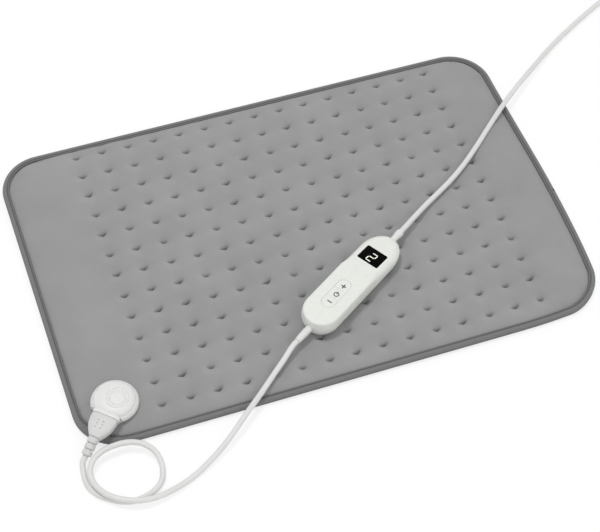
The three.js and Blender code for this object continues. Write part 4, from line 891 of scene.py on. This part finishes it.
SCREW_PLACES = [(x, y) for x in (-0.0457, 0.0457) for y in (-0.0065, 0.0065)]
SCREW_WELL = [(-0.001, 0.0025), (0.004, 0.0025)]
CORD_HEIGHT = 0.008
CORD_HOLE = [(0.03, 0.0033), (0.062, 0.0033)]
KEYPAD_X = -0.0213
KEYPAD_HALF = (0.01575, 0.00575)
KEYPAD_OPENING = [(0.014, -0.0001), (0.02, -0.0001)]
WINDOW = (
    Matrix.Translation((CREASE, 0, CONTROL_TOP))
    @ Matrix.Rotation(SLOPE, 4, "Y")
    @ Matrix.Translation((0.022, 0, 0))
)
WINDOW_HALF = (0.008, 0.01)
WINDOW_CORNER = 0.0013
WINDOW_SEAT = [(-0.0014, -0.0001), (0.004, -0.0001)]
WINDOW_HOLE = [(-0.006, 0.002), (0.004, 0.002)]


def pick(piece, test):
    bpy.ops.mesh.select_all(action="DESELECT")
    mesh = bmesh.from_edit_mesh(piece.data)
    for point in mesh.verts:
        point.select_set(test(point.co))
    mesh.select_flush(True)
    bmesh.update_edit_mesh(piece.data)


# A shell's body, with rounded ends of two lengths, drawn in ring by ring. Past the crease it slopes down
# and its rings pass over into those of the far edge.
def control_loft(edge, far_edge=None):
    bpy.ops.mesh.primitive_circle_add(
        vertices=LOFT_SIDES, radius=1, fill_type="NGON", rotation=(0, 0, math.pi / LOFT_SIDES)
    )
    bpy.ops.object.transform_apply(location=True, rotation=True, scale=True)
    shell = bpy.context.object
    bpy.ops.object.mode_set(mode="EDIT")
    for side, length in zip((-1, 1), CONTROL_ROUNDS):
        pick(shell, lambda place: place.x * side > 0)
        bpy.ops.transform.resize(value=(length, CONTROL_HALF[1], 1), center_override=(0, 0, 0))
        bpy.ops.transform.translate(value=(side * (CONTROL_HALF[0] - length), 0, edge[0][1]))
    bpy.ops.mesh.select_all(action="SELECT")
    bpy.ops.transform.resize(
        value=(1 / CONTROL_HALF[0], 1 / CONTROL_HALF[1], 1), center_override=(0, 0, edge[0][1])
    )
    bpy.ops.object.mode_set(mode="OBJECT")
    pulled([(height, CONTROL_HALF[0] - inset, CONTROL_HALF[1] - inset, 0) for inset, height in edge])
    if not far_edge:
        return shell
    bpy.ops.object.mode_set(mode="EDIT")
    for cut in LOFT_CUTS:
        bpy.ops.mesh.select_all(action="SELECT")
        bpy.ops.mesh.bisect(plane_co=(cut, 0, 0), plane_no=(1, 0, 0))
    bpy.ops.object.mode_set(mode="OBJECT")
    rings = list(zip(edge, far_edge))
    for point in shell.data.vertices:
        x, y, z = point.co
        ring = min(rings, key=lambda pair: abs(pair[0][1] - z))
        (inset, height), (far_inset, far_height) = ring
        share = eased((x - ROUNDS_OFF[0]) / (ROUNDS_OFF[1] - ROUNDS_OFF[0]))
        draw = share * (far_inset - inset)
        rise = (z - UPPER_LOW) / (CONTROL_TOP - UPPER_LOW)
        drop = max(x - CREASE, 0) * math.tan(SLOPE) * max(rise, 0)
        point.co.x = x * (1 - draw / (CONTROL_HALF[0] - inset))
        point.co.y = y * (1 - draw / (CONTROL_HALF[1] - inset))
        point.co.z = z + share * (far_height - height) - drop
    return shell


def rounded_plate(half_length, half_width, corner, rings):
    rounded_face(half_length, half_width, corner, steps=16)
    bpy.ops.transform.resize(value=(1 / half_length, 1 / half_width, 1), center_override=(0, 0, 0))
    bpy.ops.transform.translate(value=(0, 0, rings[0][0]))
    bpy.ops.object.mode_set(mode="OBJECT")
    return pulled([(height, half_length - inset, half_width - inset, 0) for height, inset in rings])


# The corners stop just short of each other, so that no two points fall together.
def stadium(half_length, half_width, rings):
    return rounded_plate(half_length, half_width, half_width * 0.999, rings)


CONTROL_WHITE = ((0.708, 0.723, 0.679), (0.752, 0.767, 0.728))
control_plastic = moulded("white_control_plastic", *CONTROL_WHITE, rough=0.45)
lower = control_loft(LOWER_EDGE)
carve(lower, control_loft(LOWER_INSIDE))
for x, y in SCREW_PLACES:
    well = turned(SCREW_WELL, sides=32)
    well.location += Vector((x, y, 0))
    carve(lower, well)
for side in (-1, 1):
    hole = turned(CORD_HOLE, sides=32)
    turn = Matrix.Rotation(side * math.pi / 2, 4, "Y")
    hole.matrix_basis = Matrix.Translation((0, 0, CORD_HEIGHT)) @ turn @ hole.matrix_basis
    carve(lower, hole)
lower.matrix_basis = CONTROL @ lower.matrix_basis
settle(lower, "control_lower_moulding", control_plastic, "lead", "white_plastic", "control_lower_shell")
dress(steel, *(f"control_screw_{number}" for number in range(1, 5)))

upper = control_loft(UPPER_EDGE, UPPER_FAR_EDGE)
carve(upper, control_loft(UPPER_INSIDE, UPPER_FAR_INSIDE))
opening = stadium(*KEYPAD_HALF, KEYPAD_OPENING)
opening.location.x += KEYPAD_X
carve(upper, opening)
for rings in (WINDOW_SEAT, WINDOW_HOLE):
    cutter = rounded_plate(*WINDOW_HALF, WINDOW_CORNER, rings)
    cutter.matrix_basis = WINDOW @ cutter.matrix_basis
    carve(upper, cutter)
upper.matrix_basis = CONTROL @ upper.matrix_basis
settle(upper, "control_upper_moulding", control_plastic, "lead", "white_plastic", "control_upper_shell")

# Keys: three white moulded caps that share one rounded outline, each with a flange under the shell and
# a stem on its switch. The signs are printed in grey.
KEY_RINGS = [
    (0.0145, -0.0012), (0.0159, -0.0012), (0.0159, 0), (0.0178, 0), (0.018, 0.00005), (0.01815, 0.00016),
    (0.01825, 0.0004), (0.01825, 0.0008),
]
KEY_TOP = 0.01825
KEY_GAP = 0.0001
KEY_SPLIT = 0.005
KEY_STEM = [(0.0125, 0.0014), (0.0127, 0.0016), (0.015, 0.0016)]
KEY_EDGE = 0.00015
KEY_MIDDLES = {"minus": -0.010375, "power": 0, "plus": 0.010375}
KEY_ENDS = {"minus": (None, -KEY_SPLIT), "power": (-KEY_SPLIT, KEY_SPLIT), "plus": (KEY_SPLIT, None)}
SIGN_HALF = 0.0023
SIGN_MIDDLES = {"minus": -0.0098, "power": -0.0008, "plus": 0.009}
SIGN_SHIFT = -0.0007
STROKE = 0.00055
PRINT = [(0, 0), (0.00005, 0)]
POWER_RING = {"major_radius": 0.002, "minor_radius": 0.00045, "major_segments": 64, "minor_segments": 8}
POWER_FLATNESS = 0.13
POWER_GAP = ((0.0008, -0.00085, -0.001), (0.003, 0.00085, 0.001))
POWER_BAR = 0.55
POWER_BAR_SHIFT = 0.0015
key_plastic = moulded("white_key_plastic", *CONTROL_WHITE, rough=0.48)
ink = moulded("grey_printing_ink", (0.085, 0.085, 0.085), (0.11, 0.11, 0.11), rough=0.6)


def joined(*pieces):
    choose(pieces[0])
    for piece in pieces[1:]:
        piece.select_set(True)
    bpy.ops.object.join()
    return pieces[0]


for key, middle in KEY_MIDDLES.items():
    cap = stadium(*KEYPAD_HALF, KEY_RINGS)
    low, high = KEY_ENDS[key]
    if high is not None:
        slice_off(cap, (high - KEY_GAP / 2, 0, 0), (1, 0, 0))
    if low is not None:
        slice_off(cap, (low + KEY_GAP / 2, 0, 0), (-1, 0, 0))
    soften(cap, KEY_EDGE)
    stem = turned(KEY_STEM, sides=24)
    stem.location.x += middle
    cap = joined(cap, stem)
    cap.matrix_basis = CONTROL @ Matrix.Translation((KEYPAD_X, 0, 0)) @ cap.matrix_basis
    settle(cap, f"key_cap_{key}", key_plastic, f"{key}_key", "white_plastic", f"key_{key}")
    sign = stadium(SIGN_HALF, STROKE, PRINT)
    if key == "power":
        bpy.ops.mesh.primitive_torus_add(**POWER_RING)
        ring = bpy.context.object
        ring.scale.z = POWER_FLATNESS
        carve(ring, block(*POWER_GAP, 0.0001))
        sign.scale.x = POWER_BAR
        sign.location.x = POWER_BAR_SHIFT
        sign = joined(sign, ring)
    else:
        sign.rotation_euler.z = math.pi / 2
    if key == "plus":
        cross = stadium(SIGN_HALF, STROKE, PRINT)
        apply_modifier(sign, "BOOLEAN", operation="UNION", object=cross, solver="EXACT")
        bpy.data.objects.remove(cross)
    choose(sign)
    bpy.ops.object.transform_apply(location=True, rotation=True, scale=True)
    place = (KEYPAD_X + SIGN_MIDDLES[key], SIGN_SHIFT, KEY_TOP)
    sign.matrix_basis = CONTROL @ Matrix.Translation(place)
    settle(sign, f"key_sign_{key}", ink, f"{key}_key", "dark_plastic")

# Electronics: a laminate board with three switches, a display module, a film capacitor, a triac, a
# fuse and a chip, soldered on and closed in between the shells.
laminate = moulded(
    "green_board_laminate", (0.03, 0.12, 0.07), (0.05, 0.16, 0.10), rough=0.35, grain_scale=120
)
film = moulded("yellow_capacitor_case", (0.62, 0.42, 0.06), (0.70, 0.50, 0.10), rough=0.4)
glass, start = new_finish("fuse_glass", Transmission_Weight=0.8, IOR=1.5)
haze = speckle(start, scale=300, detail=2)
feed(
    glass,
    Base_Color=shades(start, haze, (0.80, 0.84, 0.82), (0.9, 0.93, 0.92)),
    Roughness=haze * 0.1 + 0.04,
)
dress(laminate, "circuit_board")
dress(film, "suppression_capacitor")
dress(glass, "fuse")
dress(dark_plastic, "display_module", "triac", "control_chip")
for key in KEY_MIDDLES:
    dress(dark_plastic, f"switch_body_{key}")
    dress(white_plastic, f"switch_plunger_{key}")

# Display: a glossy black lens clipped into the slope, with one lit figure of seven-segment form
# that shows the heat setting.
LENS_TOP = -0.00015
LENS_RINGS = [
    (-0.00135, 0), (LENS_TOP - 0.0002, 0), (LENS_TOP - 0.00005, 0.00006), (LENS_TOP, 0.0002),
]
FIGURE_PLACE = (-0.0011, 0, LENS_TOP)
FIGURE_HALF = (0.0026, 0.0043)
FIGURE_SLANT = 0.15
FIGURE_STROKES = [(0, 1, False), (1, 0.5, True), (0, 0, False), (-1, -0.5, True), (0, -1, False)]
SEGMENT_WIDTH = 0.00044
SEGMENT_TIP = 0.7
lens, start = new_finish("black_display_lens", IOR=1.5, Specular_IOR_Level=0.03)
smear = speckle(start, scale=140, detail=3)
feed(
    lens,
    Base_Color=shades(start, smear, (0.001, 0.001, 0.001), (0.002, 0.002, 0.002)),
    Roughness=smear * 0.08 + 0.14,
)
pane = rounded_plate(*WINDOW_HALF, WINDOW_CORNER, LENS_RINGS)
pane.matrix_basis = CONTROL @ WINDOW @ pane.matrix_basis
settle(pane, "display_lens", lens, "lead", "black_lens", "display_window")
glow, start = new_finish("lit_segment", Emission_Strength=0.95, Roughness=0.5)
flicker = speckle(start, scale=400, detail=2)
feed(
    glow,
    Base_Color=shades(start, flicker, (0.2, 0.19, 0.17), (0.24, 0.23, 0.2)),
    Emission_Color=shades(start, flicker, (0.80, 0.82, 0.68), (0.86, 0.88, 0.76)),
)
wide, tall = FIGURE_HALF
segments = []
for across, up, upright in FIGURE_STROKES:
    length = tall / 2 if upright else wide
    segment = stadium(length - SEGMENT_WIDTH * SEGMENT_TIP, SEGMENT_WIDTH, PRINT)
    segment.rotation_euler.z = upright * (math.pi / 2 - math.atan(FIGURE_SLANT))
    segment.location = (across * wide + FIGURE_SLANT * up * tall, up * tall, 0)
    segments.append(segment)
figure = joined(*segments)
choose(figure)
bpy.ops.object.transform_apply(location=True, rotation=True, scale=True)
upright = Matrix.Rotation(-math.pi / 2, 4, "Z")
figure.matrix_basis = CONTROL @ WINDOW @ Matrix.Translation(FIGURE_PLACE) @ upright
settle(figure, "display_figure", glow, "lead", "black_lens")

# Glands: soft white sleeves moulded on the cords where they enter the hand control. Their flanges are held
# between the two shells.
cord_plastic = moulded("white_soft_sleeve", (0.68, 0.68, 0.663), (0.726, 0.726, 0.71), rough=0.45)
GLAND_FLANGE = [(0.0515, 0.0036), (0.0516, 0.0039), (0.0529, 0.0039), (0.053, 0.0036)]
PAD_SLEEVE = [
    (0.053, 0.0031), (0.0611, 0.0031), (0.066, 0.00295), (0.0697, 0.0027), (0.0713, 0.00255),
    (0.0717, 0.0024),
]
MAINS_SLEEVE = [
    (0.053, 0.0028), (0.0605, 0.0028), (0.0624, 0.003), (0.0634, 0.0033), (0.067, 0.0034),
    (0.0675, 0.0032), (0.0677, 0.0028), (0.0677, 0.0024),
]
for name, side, rings in (("pad", -1, PAD_SLEEVE), ("mains", 1, MAINS_SLEEVE)):
    sleeve = turned(GLAND_FLANGE + rings, sides=40)
    turn = Matrix.Rotation(side * math.pi / 2, 4, "Y")
    sleeve.matrix_basis = CONTROL @ Matrix.Translation((0, 0, CORD_HEIGHT)) @ turn @ sleeve.matrix_basis
    settle(sleeve, f"{name}_cord_sleeve", cord_plastic, "lead", "cord_jacket", f"{name}_cord_gland")

# Pad cord: a white round jacket with the heater's and the sensor's wires in it. It leaves the plug's
# boot, makes one loop on the table and climbs over the pad's edge to the hand control.
CORD = 0.0046
jacket, start = new_finish("white_cord_jacket", IOR=1.5)
mottle = speckle(start, scale=60, detail=3)
feed(
    jacket,
    Base_Color=shades(start, mottle, (0.664, 0.664, 0.651), (0.708, 0.708, 0.695)),
    Roughness=mottle * 0.15 + 0.38,
    Normal=relief(start, speckle(start, scale=900), strength=0.12, distance=0.0003),
)
PAD_CORD_ROUTE = [
    (-0.22395, -0.15243, 0.00742), (-0.22695, -0.15558, 0.00592), (-0.2286, -0.1635, 0.0034),
    (-0.2288, -0.171, 0.0025), (-0.227, -0.1782, 0.0024), (-0.2223, -0.1852, 0.0024),
    (-0.2155, -0.191, 0.0024), (-0.2075, -0.1956, 0.0024), (-0.199, -0.1979, 0.0024),
    (-0.1905, -0.1972, 0.0024), (-0.182, -0.1946, 0.0024), (-0.175, -0.1892, 0.0027),
    (-0.1712, -0.1814, 0.0038), (-0.1703, -0.173, 0.0055), (-0.1723, -0.165, 0.0074),
    (-0.177, -0.1586, 0.0087), (-0.184, -0.1537, 0.0092), (-0.1925, -0.1513, 0.0093),
    (-0.201, -0.1512, 0.0093), (-0.209, -0.1524, 0.009), (-0.2163, -0.1557, 0.0085),
    (-0.2216, -0.1609, 0.0079), (-0.2243, -0.1678, 0.0074), (-0.224, -0.1755, 0.0072),
    (-0.2208, -0.1838, 0.0073), (-0.215, -0.191, 0.0075), (-0.2075, -0.1965, 0.0076),
    (-0.1995, -0.2002, 0.0076), (-0.1905, -0.2023, 0.0071), (-0.181, -0.202, 0.006),
    (-0.17, -0.1996, 0.0044), (-0.1585, -0.1958, 0.003), (-0.146, -0.1904, 0.0026),
    (-0.134, -0.184, 0.0038), (-0.1215, -0.1766, 0.0064), (-0.109, -0.1677, 0.0092),
    (-0.0957, -0.1568, 0.0112), (-0.08, -0.1438, 0.0118), (-0.066, -0.1318, 0.0125),
    (-0.0525, -0.1209, 0.0148), (-0.04233, -0.11257, 0.0173), (-0.03846, -0.11009, 0.0173),
]


def lay_cord(name, route):
    cord = drawn(name, route)
    cord.data.resolution_u = 5
    cord.data.bevel_depth = CORD / 2
    cord.data.bevel_resolution = 5
    cord.data.use_fill_caps = True
    cord.data.materials.append(jacket)
    return cord


pad_cord = lay_cord("pad_cord_jacket", PAD_CORD_ROUTE)
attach(pad_cord, "lead")
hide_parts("pad_cord")

# Mains cord: the same jacket from the control over the far edge of the pad to the wall plug. The length
# that isn't in use is wound into a flat coil of two layers: in on the lower one, out on the upper one.
MAINS_CORD_ROUTE = [
    (0.07946, -0.03468, 0.0173), (0.08333, -0.0322, 0.0173), (0.0953, -0.0235, 0.0158),
    (0.1115, -0.012, 0.0134), (0.1275, -0.002, 0.0121), (0.1429, 0.0077, 0.0118),
    (0.157, 0.0178, 0.0117), (0.17, 0.0284, 0.0117), (0.1835, 0.0402, 0.0117),
    (0.196, 0.0516, 0.0117), (0.208, 0.0624, 0.0116), (0.22, 0.0729, 0.0112),
    (0.2335, 0.084, 0.0104), (0.2475, 0.0953, 0.0089), (0.2635, 0.1076, 0.0068),
    (0.2815, 0.1213, 0.0047), (0.2995, 0.1338, 0.0035), (0.316, 0.1438, 0.0032),
    (0.337, 0.1555, 0.0032), (0.36, 0.1672, 0.0034),
]
COIL_MIDDLE = Vector((0.3755, 0.2173, 0.0035))
COIL_INNER = 0.0189
COIL_PITCH = 0.0051
COIL_TURNS = 3.71
COIL_START = math.radians(-63.8)
COIL_STEPS = 24
COIL_LEAD = 0.012
PLUG_LEAD = 0.016
PLUG_HEIGHT = 0.00725


def coil_point(turn):
    angle = COIL_START + (turn + COIL_TURNS) * math.tau
    radius = COIL_INNER + COIL_PITCH * abs(turn)
    climb = COIL_PITCH * min(max(turn * 2 + 0.5, 0), 1)
    return COIL_MIDDLE + Vector((radius * math.cos(angle), radius * math.sin(angle), climb))


steps = round(2 * COIL_TURNS * COIL_STEPS)
turns = [coil_point(COIL_TURNS * (2 * step / steps - 1)) for step in range(steps + 1)]
coil_in = (turns[1] - turns[0]).normalized()
coil_out = (turns[-1] - turns[-2]).normalized()
meets_boot = turns[-1] + coil_out * PLUG_LEAD
meets_boot.z = PLUG_HEIGHT
mains_cord = lay_cord("mains_cord_jacket", [
    *MAINS_CORD_ROUTE,
    turns[0] - coil_in * COIL_LEAD,
    turns[0] - coil_in * CORD,
    *turns,
    meets_boot - coil_out * CORD,
    meets_boot,
])
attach(mains_cord, "lead")
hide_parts("mains_cord", "mains_cord_coil")

# Tie: a dark woven strap, pressed on to itself round the coil's turns so that the spare cord stays
# wound.
TIE_ANGLE = math.radians(20)
TIE_REACH = (0.0173, 0.0408)
TIE_HEIGHT = (0.0001, 0.012)
TIE_WIDTH = 0.006
TIE_THICKNESS = 0.0008
TIE_CORNER = 0.002
TIE_EDGE = 0.0002
TIE_STEPS = 4
half_reach, half_height = ((high - low) / 2 for low, high in (TIE_REACH, TIE_HEIGHT))
tie = rounded_face(half_reach, half_height, TIE_CORNER, steps=6)
bpy.ops.mesh.delete(type="ONLY_FACE")
bpy.ops.mesh.select_all(action="SELECT")
bpy.ops.transform.translate(value=(sum(TIE_REACH) / 2, sum(TIE_HEIGHT) / 2, -TIE_WIDTH / 2))
for step in range(TIE_STEPS):
    bpy.ops.mesh.extrude_region_move(TRANSFORM_OT_translate={"value": (0, 0, TIE_WIDTH / TIE_STEPS)})
bpy.ops.mesh.select_all(action="SELECT")
bpy.ops.mesh.normals_make_consistent(inside=False)
bpy.ops.object.mode_set(mode="OBJECT")
apply_modifier(tie, "SOLIDIFY", thickness=TIE_THICKNESS, offset=-1)
soften(tie, TIE_EDGE)
tie.matrix_basis = (
    Matrix.Translation((COIL_MIDDLE.x, COIL_MIDDLE.y, 0))
    @ Matrix.Rotation(TIE_ANGLE, 4, "Z")
    @ Matrix.Rotation(math.pi / 2, 4, "X")
)
strap = fabric(
    "dark_woven_strap", (0.02, 0.02, 0.022), (0.05, 0.05, 0.052),
    rough=0.8, scale=1600, detail=3, strength=0.4,
)
settle(tie, "coil_strap", strap, "lead", "dark_plastic", "coil_tie")

# Mains plug: a flat white moulded plug with two round pins and a ribbed boot, moulded on the cord's
# far end. It lies beside the coil.
MAINS_HEADING = math.atan2(coil_out.y, coil_out.x)
MAINS_PLUG = Matrix.Translation(meets_boot) @ Matrix.Rotation(MAINS_HEADING, 4, "Z")
MAINS_ROUNDING = 0.6
MAINS_STEPS = [
    (0.0226, 0.0046, 0.0042, 0), (0.0229, 0.0054, 0.0050, 0), (0.0236, 0.0064, 0.0056, 0),
    (0.0267, 0.009, 0.0063, 0), (0.0312, 0.0119, 0.0067, 0), (0.0362, 0.0144, 0.00685, 0),
    (0.0412, 0.016, 0.00685, 0), (0.0464, 0.0172, 0.00685, 0), (0.0549, 0.0176, 0.00685, 0),
    (0.056, 0.0174, 0.00665, 0), (0.0566, 0.0169, 0.0062, 0), (0.0566, 0.015, 0.0045, 0),
]
MAINS_BOOT_START = [(0.0003, 0.0026), (0.0006, 0.0029)]
MAINS_BOOT_END = (0.0223, 0.0045)
MAINS_RIB_FIRST = 0.00195
MAINS_RIB_PITCH = 0.0055
MAINS_RIB_RADII = (0.003325, 0.00375, 0.004175, 0.0046)
MAINS_RIB = [
    (0, -0.0009), (0.0003, -0.0003), (0.0006, 0), (0.0028, 0), (0.0031, -0.0003), (0.0033, -0.0007),
]
PIN_ACROSS = 0.0093
PIN_RINGS = [
    (0.0506, 0.002), (0.0736, 0.002), (0.0744, 0.0019), (0.075, 0.0016), (0.0754, 0.0011),
    (0.0756, 0.0005),
]
soft_square(MAINS_STEPS[0][0], MAINS_ROUNDING)
plug_body = pulled(MAINS_STEPS)
plug_body.matrix_basis = MAINS_PLUG @ ALONG @ plug_body.matrix_basis
settle(plug_body, "mains_plug_moulding", white_plastic, "lead", "white_plastic", "mains_plug_body")
ribs = ribbed(MAINS_RIB_FIRST, MAINS_RIB_PITCH, MAINS_RIB_RADII, MAINS_RIB)
mains_boot = turned([*MAINS_BOOT_START, *ribs, MAINS_BOOT_END], sides=32)
mains_boot.matrix_basis = MAINS_PLUG @ ALONG @ mains_boot.matrix_basis
settle(mains_boot, "mains_plug_ribbed_boot", white_plastic, "lead", "white_plastic", "mains_plug_boot")
for number, side in ((1, -1), (2, 1)):
    pin = turned(PIN_RINGS, sides=32)
    stand = Matrix.Translation((0, side * PIN_ACROSS, 0))
    pin.matrix_basis = MAINS_PLUG @ stand @ ALONG @ pin.matrix_basis
    name = f"mains_plug_round_pin_{number}"
    settle(pin, name, steel, "lead", "plated_steel", f"mains_plug_pin_{number}")
